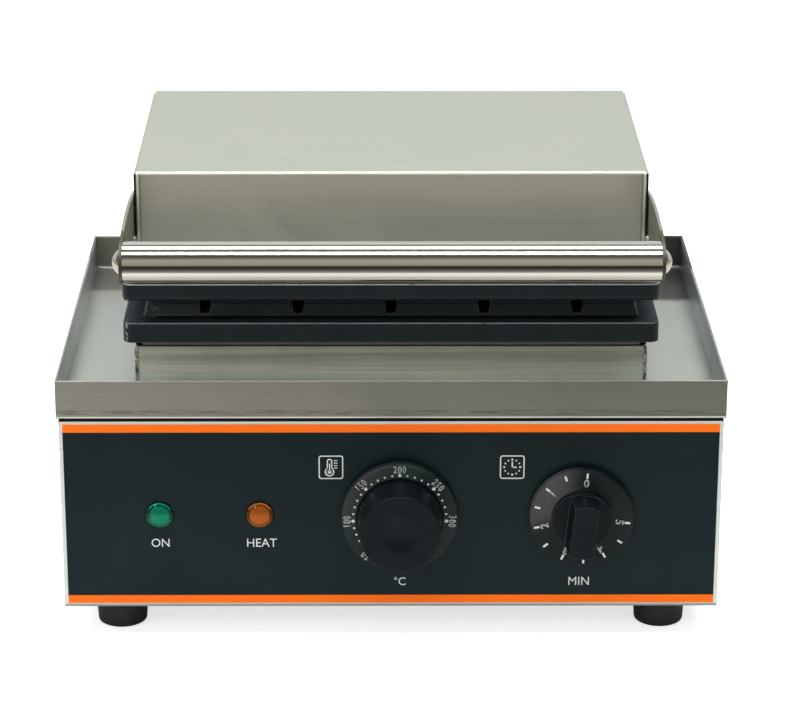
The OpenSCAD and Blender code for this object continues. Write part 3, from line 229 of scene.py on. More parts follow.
def studio_room():
    world = bpy.data.worlds.new("studio_room")
    world.use_nodes = True
    bpy.context.scene.world = world
    tree = world.node_tree
    way = split(tree, add(tree, "ShaderNodeTexCoord").outputs["Generated"])
    turn = calc(tree, "ARCTAN2", way["Z"], times(tree, way["Y"], -1.0))
    ramp = add(tree, "ShaderNodeValToRGB", {"Fac": calc(tree, "DIVIDE", turn, math.pi)})
    stops = (
        (0.00, (0.30, 0.29, 0.24)),
        (0.10, (0.37, 0.36, 0.31)),
        (0.16, (0.36, 0.35, 0.31)),
        (0.22, (0.12, 0.115, 0.10)),
        (0.27, (0.07, 0.07, 0.065)),
        (0.62, (0.19, 0.20, 0.19)),
        (0.705, (0.20, 0.21, 0.20)),
        (0.745, (0.76, 0.80, 0.78)),
        (0.80, (0.76, 0.80, 0.78)),
        (0.825, (0.43, 0.42, 0.38)),
        (0.862, (0.46, 0.46, 0.43)),
        (0.88, (0.72, 0.82, 0.88)),
        (1.00, (0.68, 0.78, 0.83)),
    )
    points = ramp.color_ramp.elements
    points[0].position, points[0].color = stops[0][0], tone_of(stops[0][1])
    points[1].position, points[1].color = stops[-1][0], tone_of(stops[-1][1])
    for position, colour in stops[1:-1]:
        points.new(position).color = tone_of(colour)
    seen = add(tree, "ShaderNodeLightPath").outputs["Is Camera Ray"]
    plain = shade(tree, seen, ramp.outputs["Color"], grey(0.68))
    feed(tree, tree.nodes["Background"].inputs["Color"], plain)
    tree.nodes["Background"].inputs["Strength"].default_value = 1.35


def strip_light(name, place, aim, size, power, tone=(1.0, 1.0, 1.0)):
    data = bpy.data.lights.new(name, "AREA")
    data.shape = "RECTANGLE"
    data.size, data.size_y = size
    data.energy = power
    data.color = tone
    lamp = bpy.data.objects.new(name, data)
    lamp.location = place
    lamp.rotation_euler = (Vector(aim) - Vector(place)).to_track_quat("-Z", "Y").to_euler()
    lamp.visible_camera = False
    bpy.context.collection.objects.link(lamp)


def stage_sheet(name, size, middle, material):
    bm = bmesh.new()
    bmesh.ops.create_grid(bm, x_segments=4, y_segments=4, size=0.5)
    bmesh.ops.scale(bm, vec=(size[0], size[1], 1), verts=bm.verts)
    bmesh.ops.translate(bm, vec=middle, verts=bm.verts)
    mesh = bpy.data.meshes.new(name)
    bm.to_mesh(mesh)
    bm.free()
    mesh.materials.append(material)
    sheet = bpy.data.objects.new(name, mesh)
    bpy.context.collection.objects.link(sheet)
    return sheet


# Effects that several finishes share

def effect(name, wanted, given):
    tree = bpy.data.node_groups.new(name, "ShaderNodeTree")
    for label, kind in wanted.items():
        tree.interface.new_socket(label, in_out="INPUT", socket_type="NodeSocket" + kind)
    for label in given:
        tree.interface.new_socket(label, in_out="OUTPUT", socket_type="NodeSocketFloat")
    return tree, tree.nodes.new("NodeGroupInput").outputs, tree.nodes.new("NodeGroupOutput").inputs


def effect_out(tree, group, **sockets):
    placed = add(tree, "ShaderNodeGroup", node_tree=group)
    for label, value in sockets.items():
        feed(tree, placed.inputs[label], value)
    return placed.outputs


def noise_of(tree, vector, scale, detail=3.0, rough=0.6, bend=0.0):
    made = add(tree, "ShaderNodeTexNoise", {"Vector": vector, "Scale": scale, "Detail": detail,
                                            "Roughness": rough, "Distortion": bend})
    return made.outputs[0]


def sheet_brushing():
    wanted = {"Position": "Vector", "Facing": "Vector", "Along": "Float", "Across": "Float"}
    tree, into, out = effect("sheet_brushing", wanted, ["Lines", "Fine"])
    side = calc(tree, "ABSOLUTE", split(tree, into["Facing"])["X"])
    lengthwise = join(tree, into["Along"], into["Across"], into["Across"])
    crosswise = join(tree, into["Across"], into["Along"], into["Across"])
    stretch = blend_vectors(tree, span(tree, side, 0.6, 0.8), lengthwise, crosswise)
    stretched = vector_math(tree, "MULTIPLY", into["Position"], stretch).outputs[0]
    feed(tree, out["Lines"], noise_of(tree, stretched, 0.4, 4.0, 0.7))
    feed(tree, out["Fine"], noise_of(tree, stretched, 1.7, 2.0, 0.6))
    return tree


def smudging():
    wanted = {"Position": "Vector", "Size": "Float", "Low": "Float", "High": "Float"}
    tree, into, out = effect("smudging", wanted, ["Mask"])
    cloud = noise_of(tree, into["Position"], into["Size"], 4.0, 0.62, 0.7)
    feed(tree, out["Mask"], span(tree, cloud, into["Low"], into["High"]))
    return tree


def specks():
    tree, into, out = effect("specks", {"Position": "Vector", "Size": "Float", "Share": "Float"}, ["Mask"])
    cells = add(tree, "ShaderNodeTexVoronoi",
                {"Vector": into["Position"], "Scale": into["Size"], "Randomness": 1.0}).outputs
    dot = span(tree, cells["Distance"], 0.16, 0.06)
    picked = calc(tree, "LESS_THAN", split(tree, cells["Color"])["X"], into["Share"])
    feed(tree, out["Mask"], times(tree, dot, picked))
    return tree


def rubbed_edges():
    wanted = {"Position": "Vector", "Edge": "Float", "Size": "Float"}
    tree, into, out = effect("rubbed_edges", wanted, ["Mask"])
    wear = noise_of(tree, into["Position"], into["Size"], 4.0, 0.7)
    worn = calc(tree, "ADD", into["Edge"], times(tree, calc(tree, "SUBTRACT", wear, 0.5), 1.6))
    on_edge = span(tree, into["Edge"], 0.02, 0.2)
    feed(tree, out["Mask"], times(tree, span(tree, worn, 0.35, 0.75), on_edge))
    return tree


def moulded_grain():
    tree, into, out = effect("moulded_grain", {"Position": "Vector", "Size": "Float"}, ["Height", "Tone"])
    coarse = noise_of(tree, into["Position"], into["Size"], 2.0, 0.5)
    fine = noise_of(tree, into["Position"], times(tree, into["Size"], 3.1), 3.0, 0.6)
    height = calc(tree, "ADD", times(tree, coarse, 0.6), times(tree, fine, 0.4))
    feed(tree, out["Height"], height)
    feed(tree, out["Tone"], span(tree, height, 0.35, 0.65))
    return tree


BRUSHING = sheet_brushing()
SMUDGES = smudging()
SPECKS = specks()
EDGES = rubbed_edges()
GRAIN = moulded_grain()


# Finishes

def finish(name, **plain):
    material = bpy.data.materials.new(name)
    material.use_nodes = True
    tree = material.node_tree
    shader = tree.nodes["Principled BSDF"].inputs
    for label, value in plain.items():
        shader[label.replace("_", " ")].default_value = value
    return material, tree, shader, add(tree, "ShaderNodeTexCoord").outputs


def rounded_normal(tree, radius):
    return add(tree, "ShaderNodeBevel", {"Radius": radius}, samples=4).outputs[0]


def edge_of(tree, rounded, low=0.002, high=0.08):
    straight = add(tree, "ShaderNodeNewGeometry").outputs["Normal"]
    match = vector_math(tree, "DOT_PRODUCT", rounded, straight).outputs["Value"]
    return span(tree, calc(tree, "SUBTRACT", 1.0, match), low, high)


def spread_along(tree, shader, way):
    world = add(tree, "ShaderNodeVectorTransform", {"Vector": way}, vector_type="VECTOR",
                convert_from="OBJECT", convert_to="WORLD")
    feed(tree, shader["Tangent"], world.outputs[0])


def spread_across_lines(tree, shader, place):
    level = span(tree, calc(tree, "ABSOLUTE", split(tree, place["Normal"])["Z"]), 0.6, 0.8)
    spread_along(tree, shader, blend_vectors(tree, level, (0.0, 0.0, 1.0), (0.0, 1.0, 0.0)))


def relief(tree, shader, height, strength, depth, base=None):
    sockets = {"Height": height, "Strength": strength, "Distance": depth}
    if base is not None:
        sockets["Normal"] = base
    feed(tree, shader["Normal"], add(tree, "ShaderNodeBump", sockets).outputs[0])


def brushed_sheet(name, light=(0.50, 0.50, 0.47), dark=(0.43, 0.43, 0.40), rough=0.33, rounding=0.5,
                  along=8.0, across=2600.0, smear=0.25, spread=0.75, metal=1.0, bump=0.05, tint=None):
    material, tree, shader, place = finish(name, Metallic=metal, Anisotropic=spread)
    spread_across_lines(tree, shader, place)
    where = place["Object"]
    brush = effect_out(tree, BRUSHING, Position=where, Facing=place["Normal"], Along=along, Across=across)
    blot = effect_out(tree, SMUDGES, Position=where, Size=26.0, Low=0.42, High=0.72)["Mask"]
    spot = effect_out(tree, SPECKS, Position=where, Size=95.0, Share=0.07)["Mask"]
    lines = span(tree, brush["Lines"], 0.3, 0.72)
    colour = shade(tree, lines, tone_of(dark), tone_of(light))
    smeared = shade(tree, times(tree, blot, smear), colour, tone_of(dark, 0.72))
    speckled = shade(tree, times(tree, spot, 0.3), smeared, (0.24, 0.22, 0.18, 1.0))
    feed(tree, shader["Base Color"], tint(tree, place, speckled) if tint else speckled)
    haze = calc(tree, "ADD", times(tree, lines, -0.05), times(tree, blot, 0.06))
    feed(tree, shader["Roughness"], calc(tree, "ADD", haze, rough + 0.02))
    relief(tree, shader, brush["Fine"], bump, 0.00006, rounded_normal(tree, rounding * MM))
    return material


def darker(tree, mask, colour, tone):
    return shade(tree, mask, colour, tone_of(tone))


# The hood's cover: a painted highlight on the bent lip at both ends of its front, brighter higher up, with
# painted shade in the groove beside it

def hood_lip_highlight_and_groove_shade(tree, place, colour):
    x, y, z = split(tree, place["Object"])
    out = calc(tree, "ABSOLUTE", x)
    front = fade(tree, y, HOOD_FRONT + 0.9, HOOD_FRONT + 0.3)
    # Painted shade in the groove beside each lip
    groove_shade = times(tree, front, band(tree, out, HOOD_X - 2.4, HOOD_X - 1.5, 0.2))
    # Painted highlight on the bent lip, brighter higher up
    lip_highlight = times(tree, front, band(tree, out, HOOD_X - 1.35, HOOD_X - 0.35, 0.15))
    dimmed = darker(tree, times(tree, groove_shade, 0.7), colour, (0.26, 0.26, 0.22))
    upper = fade(tree, z, HOOD_TOP - 25.4, HOOD_TOP - 9.4, 0.4, 1.0)
    return shade(tree, times(tree, lip_highlight, upper), dimmed, (0.99, 0.99, 0.95, 1.0))


# The hood's ends: their front edge lies in the shade behind the arms

def hood_end_shade(tree, place, colour):
    y = split(tree, place["Object"])["Y"]
    shaded = fade(tree, y, HOOD_FRONT + 2.2, HOOD_FRONT + 1.4)
    return darker(tree, shaded, colour, (0.012, 0.012, 0.011))


# The arms: their rounded fronts lie in the shade of the tube

def arm_shade(tree, place, colour):
    y = split(tree, place["Object"])["Y"]
    shaded = fade(tree, y, HANDLE_Y + 13.25, HANDLE_Y + 9.25, 0.0, 0.85)
    return darker(tree, shaded, colour, (0.075, 0.065, 0.05))


# The lower frame: browned by heat, and dark at both ends

def frame_heat(tree, place, colour):
    out = calc(tree, "ABSOLUTE", split(tree, place["Object"])["X"])
    browned = darker(tree, 0.6, colour, (0.17, 0.14, 0.12))
    return darker(tree, fade(tree, out, RISER_X - 3.8, RISER_X - 3.0), browned, (0.006, 0.006, 0.006))


# The tray's inside: bluish side walls, with painted light that makes the left wall paler than the right; a
# painted dark reflection on the floor behind the riser; painted shade on the rear wall; and a painted
# highlight along the rear wall's foot

def tray_inside(tree, place, colour):
    where = place["Object"]
    x, y, z = split(tree, where)
    aside, facing, level = split(tree, place["Normal"])
    walls = span(tree, calc(tree, "ABSOLUTE", aside), 0.6, 0.8, 0.0, 0.6)
    floor = span(tree, level, 0.6, 0.8)
    rear = times(tree, span(tree, facing, -0.6, -0.8), fade(tree, y, TRAY_REAR - 4, TRAY_REAR - 2))
    rightward = fade(tree, x, -100.0, 100.0)
    # Bluish side walls, with painted light that makes the left wall paler than the right
    wall_light_tone = shade(tree, rightward, (0.70, 0.72, 0.71, 1.0), (0.50, 0.54, 0.545, 1.0))
    walls_painted_light = shade(tree, walls, colour, wall_light_tone)
    floored = shade(tree, times(tree, floor, 0.5), walls_painted_light, (0.43, 0.455, 0.44, 1.0))
    # Painted dark reflection on the floor behind the riser, darker on the right
    wander = times(tree, calc(tree, "SUBTRACT", noise_of(tree, where, 22.0, 3.0, 0.6), 0.5), 12.0 * MM)
    skew = calc(tree, "ADD", wander, fade(tree, x, -100.0, 100.0, -16.5 * MM, 0.0))
    reach = calc(tree, "ADD", y, skew)
    dark_reflection = times(tree, floor, fade(tree, reach, RISER_YS[1] + 2.25, RISER_YS[1] + 10.25))
    dark_reflection_tone = shade(tree, rightward, (0.19, 0.185, 0.17, 1.0), (0.05, 0.056, 0.055, 1.0))
    dark_reflected = shade(tree, times(tree, dark_reflection, 0.9), floored, dark_reflection_tone)
    # Painted shade on the rear wall
    heat = times(tree, rear, fade(tree, x, -150.0, 130.0, 0.4, 0.78))
    dimmed = darker(tree, heat, dark_reflected, (0.045, 0.05, 0.048))
    # Painted highlight along the foot of the rear wall
    rear_fold_highlight = times(tree, rear, band(tree, z, TRAY_FOOT + 1.3, TRAY_FOOT + 2.6, 0.3))
    return shade(tree, times(tree, rear_fold_highlight, 0.7), dimmed, (0.85, 0.90, 0.87, 1.0))


# The tray's front: painted shade that darkens it towards the right, with soil along its foot, a painted
# highlight on the fold and painted shade on the edge under it

def tray_soil_and_painted_light(tree, place, colour):
    where = place["Object"]
    x, y, z = split(tree, where)
    facing = split(tree, place["Normal"])["Y"]
    front = times(tree, span(tree, facing, -0.6, -0.8), fade(tree, y, TRAY_FRONT + 7.25, TRAY_FRONT + 2.25))
    # Painted shade that darkens the front towards the right
    right_shade = times(tree, front, fade(tree, x, -TRAY_X, TRAY_X, 0.38, 0.9))
    right_shaded = darker(tree, right_shade, tray_inside(tree, place, colour), (0.22, 0.22, 0.19))
    stretched = vector_math(tree, "MULTIPLY", where, (70.0, 70.0, 1500.0)).outputs[0]
    blots = span(tree, noise_of(tree, stretched, 1.0, 5.0, 0.75), 0.44, 0.60)
    foot = times(tree, front, band(tree, z, TRAY_FOOT + 1.9, TRAY_FOOT + 4.8, 0.8))
    soiled = darker(tree, times(tree, times(tree, foot, blots), 0.6), right_shaded, (0.10, 0.095, 0.075))
    # Painted highlight on the fold
    front_fold_highlight = times(tree, front, band(tree, z, TRAY_FOOT + 0.4, TRAY_FOOT + 1.15, 0.15))
    front_fold_lit = shade(tree, front_fold_highlight, soiled, (0.85, 0.85, 0.80, 1.0))
    # Painted shade on the edge under the fold
    under_fold_shade = times(tree, front, band(tree, z, TRAY_FOOT - 0.5, TRAY_FOOT + 0.3, 0.12))
    return darker(tree, under_fold_shade, front_fold_lit, (0.03, 0.03, 0.027))


# The riser: painted highlight that makes it paler at both ends, and painted shade that dims it towards the
# right

def riser_shade(tree, place, colour):
    x = split(tree, place["Object"])["X"]
    painted_dimming = darker(tree, fade(tree, x, -120.0, 120.0, 0.08, 0.34), colour, (0.26, 0.295, 0.235))
    ends = fade(tree, calc(tree, "ABSOLUTE", x), RISER_X - 22, RISER_X - 4, 0.0, 0.4)
    return shade(tree, ends, painted_dimming, (0.66, 0.69, 0.62, 1.0))


# The front panel: painted shade under the tray, and painted shade that dims it towards its lower bend

def panel_bend_shade(tree, place, colour):
    z = split(tree, place["Object"])["Z"]
    lower_bend = fade(tree, z, PANEL_ZS[0] + 2.1, PANEL_ZS[0] + 0.5, 0.0, 0.85)
    low = darker(tree, lower_bend, colour, (0.20, 0.205, 0.195))
    return darker(tree, fade(tree, z, PANEL_ZS[1] - 0.5, PANEL_ZS[1] - 0.25), low, (0.010, 0.010, 0.009))


# The tube: painted shade on its underside, which gives back less of the table

def tube_belly_shade(tree, colour):
    up = split(tree, add(tree, "ShaderNodeNewGeometry").outputs["Normal"])["Z"]
    return shade(tree, span(tree, up, -0.35, -0.55, 0.0, 0.8), colour, (0.40, 0.40, 0.345, 1.0))


def polished_steel(name, dark, light, tint=None):
    material, tree, shader, place = finish(name, Metallic=1.0)
    where = place["Object"]
    brush = effect_out(tree, BRUSHING, Position=where, Facing=place["Normal"], Along=7.0, Across=1300.0)
    spot = effect_out(tree, SPECKS, Position=where, Size=120.0, Share=0.08)["Mask"]
    lines = span(tree, brush["Lines"], 0.3, 0.7)
    colour = shade(tree, lines, tone_of(dark), tone_of(light))
    spotted = shade(tree, times(tree, spot, 0.5), colour, (0.2, 0.19, 0.17, 1.0))
    feed(tree, shader["Base Color"], tint(tree, spotted) if tint else spotted)
    feed(tree, shader["Roughness"], span(tree, brush["Lines"], 0.25, 0.75, 0.14, 0.07))
    relief(tree, shader, brush["Fine"], 0.0015, 0.00004, rounded_normal(tree, 0.4 * MM))
    return material


def zinc_plate():
    material, tree, shader, place = finish("zinc_plated_steel", Metallic=1.0)
    grain = effect_out(tree, GRAIN, Position=place["Object"], Size=900.0)
    blot = effect_out(tree, SMUDGES, Position=place["Object"], Size=140.0, Low=0.4, High=0.7)["Mask"]
    colour = shade(tree, grain["Tone"], (0.48, 0.49, 0.47, 1.0), (0.62, 0.63, 0.60, 1.0))
    stained = shade(tree, times(tree, blot, 0.4), colour, (0.50, 0.46, 0.34, 1.0))
    feed(tree, shader["Base Color"], stained)
    feed(tree, shader["Roughness"], span(tree, grain["Tone"], 0.0, 1.0, 0.36, 0.26))
    relief(tree, shader, grain["Height"], 0.1, 0.00005, rounded_normal(tree, 0.3 * MM))
    return material


# Bare metal on the plates: rubbed edges, the lid plate's rim as bare metal with a painted highlight, chips at
# the lower plate's left end, and a painted highlight of bare metal along its front lip

def bare_metal_and_highlights(tree, place, rounded):
    where = place["Object"]
    x, y, z = split(tree, where)
    corner = edge_of(tree, rounded, 0.01, 0.12)
    edge = effect_out(tree, EDGES, Position=where, Edge=corner, Size=70.0)["Mask"]
    upright = span(tree, split(tree, place["Normal"])["Z"], 0.75, 0.5)
    # Bare metal and a painted highlight along the lid plate's rim
    rim_wear_and_highlight = times(tree, fade(tree, z, LID_PLATE_TOP - 0.8, LID_PLATE_TOP - 0.4), upright)
    ragged = span(tree, noise_of(tree, where, 190.0, 4.0, 0.75), 0.30, 0.44)
    # Painted highlight along the lower plate's front lip
    lip_highlight = times(tree, band(tree, z, LOWER_FLANGE_TOP - 0.45, LOWER_FLANGE_TOP + 0.2, 0.12),
                fade(tree, y, PLATE_FRONT + 0.9, PLATE_FRONT + 0.5))
    left_end = times(tree, band(tree, x, 1.3 - PLATE_X, 2.5 - PLATE_X, 0.35),
                     fade(tree, y, PLATE_FRONT + 5.25, PLATE_FRONT + 2.25))
    below = fade(tree, z, LOWER_FLANGE_TOP + 0.7, LOWER_FLANGE_TOP - 0.3)
    chips = times(tree, times(tree, below, left_end),
                  span(tree, noise_of(tree, where, 260.0, 4.0, 0.75), 0.46, 0.54))
    worn = calc(tree, "MAXIMUM", times(tree, edge, 0.5), times(tree, rim_wear_and_highlight, ragged))
    lip_highlight_ragged = times(tree, lip_highlight, span(tree, ragged, 0.0, 1.0, 0.12, 0.42))
    return calc(tree, "MAXIMUM", worn, calc(tree, "MAXIMUM", times(tree, chips, 0.6), lip_highlight_ragged))


def coated_casting():
    material, tree, shader, place = finish("coated_casting", Specular_IOR_Level=0.24)
    where = place["Object"]
    y, z = split(tree, where)[1:]
    grain = effect_out(tree, GRAIN, Position=where, Size=1100.0)
    blot = effect_out(tree, SMUDGES, Position=where, Size=45.0, Low=0.4, High=0.7)["Mask"]
    rounded = rounded_normal(tree, 0.9 * MM)
    black = shade(tree, grain["Tone"], (0.0030, 0.0072, 0.0100, 1.0), (0.0055, 0.0105, 0.0138, 1.0))
    coat = shade(tree, times(tree, blot, 0.5), black, (0.0080, 0.0130, 0.0160, 1.0))
    # Painted light on the mould block's face, which lies in the shade of the lid plate
    behind_lip = fade(tree, y, PLATE_FRONT + 2.75, PLATE_FRONT + 4.25)
    block = times(tree, behind_lip, band(tree, z, LOWER_FLANGE_TOP + 0.4, UPPER_FLANGE_FOOT - 0.3, 0.3))
    block_painted_light = shade(tree, block, coat, (0.0175, 0.0255, 0.0335, 1.0))
    # Wear and a painted highlight on the block's left front corner
    from_corner = vector_math(tree, "DISTANCE", where, at(-124.0, -70.0, 172.8)).outputs["Value"]
    corner_wear_and_highlight = times(tree, fade(tree, from_corner, 7.5, 4.0),
                   span(tree, noise_of(tree, where, 520.0, 4.0, 0.7), 0.48, 0.60))
    corner_worn_and_lit = shade(tree, times(tree, corner_wear_and_highlight, 0.8), block_painted_light, (0.16, 0.17, 0.18, 1.0))
    bare_and_highlighted = bare_metal_and_highlights(tree, place, rounded)
    feed(tree, shader["Base Color"], shade(tree, bare_and_highlighted, corner_worn_and_lit, (0.40, 0.40, 0.38, 1.0)))
    feed(tree, shader["Metallic"], bare_and_highlighted)
    feed(tree, shader["Roughness"], span(tree, grain["Tone"], 0.0, 1.0, 0.56, 0.44))
    relief(tree, shader, grain["Height"], 0.25, 0.00012, rounded)
    return material


def panel_film():
    material, tree, shader, place = finish("printed_film", Specular_IOR_Level=0.17)
    where = place["Object"]
    grain = effect_out(tree, GRAIN, Position=where, Size=1500.0)
    blot = effect_out(tree, SMUDGES, Position=where, Size=12.0, Low=0.35, High=0.75)["Mask"]
    height = split(tree, where)["Z"]
    upper = calc(tree, "GREATER_THAN", height, STRIPE_ZS[1] * MM)
    lower = calc(tree, "LESS_THAN", height, STRIPE_ZS[0] * MM)
    stripe = calc(tree, "MAXIMUM", upper, lower)
    black = shade(tree, blot, (0.0014, 0.0098, 0.0128, 1.0), (0.0036, 0.0126, 0.0154, 1.0))
    orange = shade(tree, grain["Tone"], (1.0, 0.150, 0.0005, 1.0), (1.0, 0.178, 0.002, 1.0))
    feed(tree, shader["Base Color"], shade(tree, stripe, black, orange))
    feed(tree, shader["Roughness"], span(tree, grain["Tone"], 0.0, 1.0, 0.42, 0.36))
    relief(tree, shader, grain["Height"], 0.06, 0.00005)
    return material


def soft_black(name, tone, rough, size, strength, rounding=0.6):
    material, tree, shader, place = finish(name, Specular_IOR_Level=0.4)
    where = place["Object"]
    grain = effect_out(tree, GRAIN, Position=where, Size=size)
    blot = effect_out(tree, SMUDGES, Position=where, Size=60.0, Low=0.4, High=0.75)["Mask"]
    colour = shade(tree, grain["Tone"], tone_of(tone, 0.8), tone_of(tone))
    feed(tree, shader["Base Color"], shade(tree, times(tree, blot, 0.5), colour, tone_of(tone, 1.7)))
    feed(tree, shader["Roughness"], span(tree, grain["Tone"], 0.0, 1.0, rough + 0.05, rough - 0.05))
    relief(tree, shader, grain["Height"], strength, 0.0001, rounded_normal(tree, rounding * MM))
    return material


def dial_plastic():
    material, tree, shader, place = finish("dial_plastic", Specular_IOR_Level=0.14)
    where = place["Object"]
    grain = effect_out(tree, GRAIN, Position=where, Size=1300.0)
    blot = effect_out(tree, SMUDGES, Position=where, Size=70.0, Low=0.4, High=0.75)["Mask"]
    rounded = rounded_normal(tree, 0.5 * MM)
    edge = edge_of(tree, rounded, 0.01, 0.1)
    rub = effect_out(tree, EDGES, Position=where, Edge=edge, Size=240.0)["Mask"]
    colour = shade(tree, grain["Tone"], (0.0012, 0.0042, 0.0062, 1.0), (0.0028, 0.0066, 0.0088, 1.0))
    blotted = shade(tree, times(tree, blot, 0.5), colour, (0.0060, 0.0100, 0.0120, 1.0))
    # Rubbed wear and a painted highlight along the dial's edges
    rim_wear_and_highlight = calc(tree, "MAXIMUM", times(tree, rub, 0.7), times(tree, edge, 0.75))
    feed(tree, shader["Base Color"], shade(tree, rim_wear_and_highlight, blotted, (0.075, 0.080, 0.080, 1.0)))
    feed(tree, shader["Roughness"], span(tree, grain["Tone"], 0.0, 1.0, 0.42, 0.34))
    relief(tree, shader, grain["Height"], 0.12, 0.00006, rounded)
    return material


# Fine lines turned round each dial's own centre, with the sheen spread across them, a painted sheen wedge
# towards the upper left and a painted teal sheen at the top of the thermostat's skirt

def turned_skirt():
    material, tree, shader, place = finish("turned_skirt", Specular_IOR_Level=0.25, Anisotropic=0.85)
    x, y, z = split(tree, place["Object"])
    on_timer = calc(tree, "GREATER_THAN", x, (THERMOSTAT_X + TIMER_X) / 2 * MM)
    middle = calc(tree, "MULTIPLY_ADD", on_timer, (TIMER_X - THERMOSTAT_X) * MM)
    middle.node.inputs[2].default_value = THERMOSTAT_X * MM
    off = calc(tree, "SUBTRACT", x, middle)
    up = calc(tree, "SUBTRACT", z, DIAL_Z * MM)
    outward = join(tree, off, 0.0, up)
    spread_along(tree, shader, outward)
    radius = vector_math(tree, "LENGTH", outward, (0.0, 0.0, 0.0)).outputs["Value"]
    lines = span(tree, noise_of(tree, join(tree, radius, 0.0, 0.0), 2600.0, 2.0, 0.7), 0.3, 0.7)
    grain = effect_out(tree, GRAIN, Position=place["Object"], Size=1500.0)
    black = shade(tree, on_timer, (0.0090, 0.0150, 0.0165, 1.0), (0.0028, 0.0066, 0.0080, 1.0))
    dark = shade(tree, lines, black, vector_math(tree, "MULTIPLY", black, (1.5, 1.5, 1.5)).outputs[0])
    aslant = vector_math(tree, "NORMALIZE", outward, (0.0, 0.0, 0.0)).outputs[0]
    # Painted sheen in a wedge towards the upper left
    toward = vector_math(tree, "DOT_PRODUCT", aslant, (-0.80, 0.0, 0.60)).outputs["Value"]
    sheen = times(tree, span(tree, toward, 0.5, 1.0), span(tree, on_timer, 0.0, 1.0, 0.4, 1.0))
    lit = shade(tree, lines, (0.030, 0.029, 0.031, 1.0), (0.110, 0.106, 0.110, 1.0))
    # Painted teal sheen at the top of the thermostat's skirt
    upward = vector_math(tree, "DOT_PRODUCT", aslant, (0.05, 0.0, 0.998)).outputs["Value"]
    top_sheen = times(tree, span(tree, upward, 0.86, 1.0), span(tree, on_timer, 0.0, 1.0, 0.9, 0.0))
    top_sheen_painted = shade(tree, top_sheen, shade(tree, sheen, dark, lit), (0.022, 0.040, 0.038, 1.0))
    feed(tree, shader["Base Color"], top_sheen_painted)
    feed(tree, shader["Roughness"], span(tree, lines, 0.0, 1.0, 0.52, 0.44))
    relief(tree, shader, grain["Height"], 0.06, 0.00004)
    return material


def lamp_glass(name, tone):
    material, tree, shader, place = finish(name, Transmission_Weight=1.0, IOR=1.24)
    ripple = noise_of(tree, place["Object"], 700.0, 2.0, 0.5)
    feed(tree, shader["Base Color"], shade(tree, ripple, tone_of(tone, 0.85), tone_of(tone)))
    feed(tree, shader["Roughness"], span(tree, ripple, 0.3, 0.7, 0.03, 0.07))
    return material


# Beads in the middle, dimmed above by painted shade, and round them a plain ring with a painted reflection,
# dark above and pale below, and a painted highlight along its crown

def lamp_diffuser(name, tone, centre_x):
    material, tree, shader, place = finish(name, Specular_IOR_Level=0.5)
    where = place["Object"]
    beads = add(tree, "ShaderNodeTexVoronoi", {"Vector": where, "Scale": 1300.0, "Randomness": 0.35})
    dome = span(tree, beads.outputs["Distance"], 0.1, 0.6)
    away = split(tree, vector_math(tree, "SUBTRACT", where, at(centre_x, FILM_Y, DIAL_Z)).outputs[0])
    up = away["Z"]
    radius = vector_math(tree, "LENGTH", join(tree, away["X"], 0.0, up), (0.0, 0.0, 0.0)).outputs["Value"]
    beaded = shade(tree, dome, tone_of(tone), tone_of(tone, 0.5))
    # Painted shade that dims the beads above
    painted_dimming = shade(tree, fade(tree, up, -0.6, 1.4, 0.0, 0.55), beaded, tone_of(tone, 0.25))
    # Painted reflection on the ring: pale below, dark above
    pale = tone_of([c * 0.22 + 0.03 for c in tone])
    ring_reflection = shade(tree, fade(tree, up, -3.4, -0.4), pale, tone_of(tone, 0.09))
    # Painted highlight along the ring's crown
    crown_highlight = times(tree, fade(tree, radius, 5.7, 6.0), fade(tree, up, 2.0, 4.6))
    ring_crown_lit = shade(tree, crown_highlight, ring_reflection, tone_of(tone, 0.8))
    feed(tree, shader["Base Color"], shade(tree, fade(tree, radius, 4.7, 5.0), painted_dimming, ring_crown_lit))
    feed(tree, shader["Roughness"], span(tree, dome, 0.0, 1.0, 0.3, 0.5))
    relief(tree, shader, calc(tree, "SUBTRACT", 1.0, dome), 0.6, 0.0002)
    return material


def plain_grain(name, light, dark, rough, size, strength, metallic=0.0):
    material, tree, shader, place = finish(name, Metallic=metallic)
    where = place["Object"]
    grain = effect_out(tree, GRAIN, Position=where, Size=size)
    blot = effect_out(tree, SMUDGES, Position=where, Size=80.0, Low=0.4, High=0.75)["Mask"]
    colour = shade(tree, grain["Tone"], tone_of(dark), tone_of(light))
    feed(tree, shader["Base Color"], shade(tree, times(tree, blot, 0.35), colour, tone_of(dark)))
    feed(tree, shader["Roughness"], span(tree, grain["Tone"], 0.0, 1.0, rough + 0.06, rough - 0.06))
    relief(tree, shader, grain["Height"], strength, 0.00015, rounded_normal(tree, 0.3 * MM))
    return material


def pale_floor():
    material, tree, shader, place = finish("pale_floor", Specular_IOR_Level=0.0)
    cloud = noise_of(tree, place["Object"], 3.0, 3.0, 0.5)
    feed(tree, shader["Base Color"], shade(tree, cloud, (0.90, 0.90, 0.895, 1.0), (0.93, 0.93, 0.925, 1.0)))
    shader["Roughness"].default_value = 0.9
    shader["Emission Color"].default_value = grey(1.0)
    seen = add(tree, "ShaderNodeLightPath").outputs["Is Camera Ray"]
    feed(tree, shader["Emission Strength"], times(tree, seen, 0.66))
    return material


# A dark cloth on the table, paler towards its near edge

def flag_cloth():
    material, tree, shader, place = finish("flag_cloth", Specular_IOR_Level=0.0, Roughness=0.9)
    away = calc(tree, "DIVIDE", calc(tree, "SUBTRACT", FLAG_EDGE, split(tree, place["Object"])["Y"]), 0.40)
    near = calc(tree, "POWER", calc(tree, "SUBTRACT", 1.0, away, clamp=True), 2.2)
    feed(tree, shader["Base Color"], shade(tree, near, grey(0.036, 0.12), grey(0.30, 0.06)))
    return material


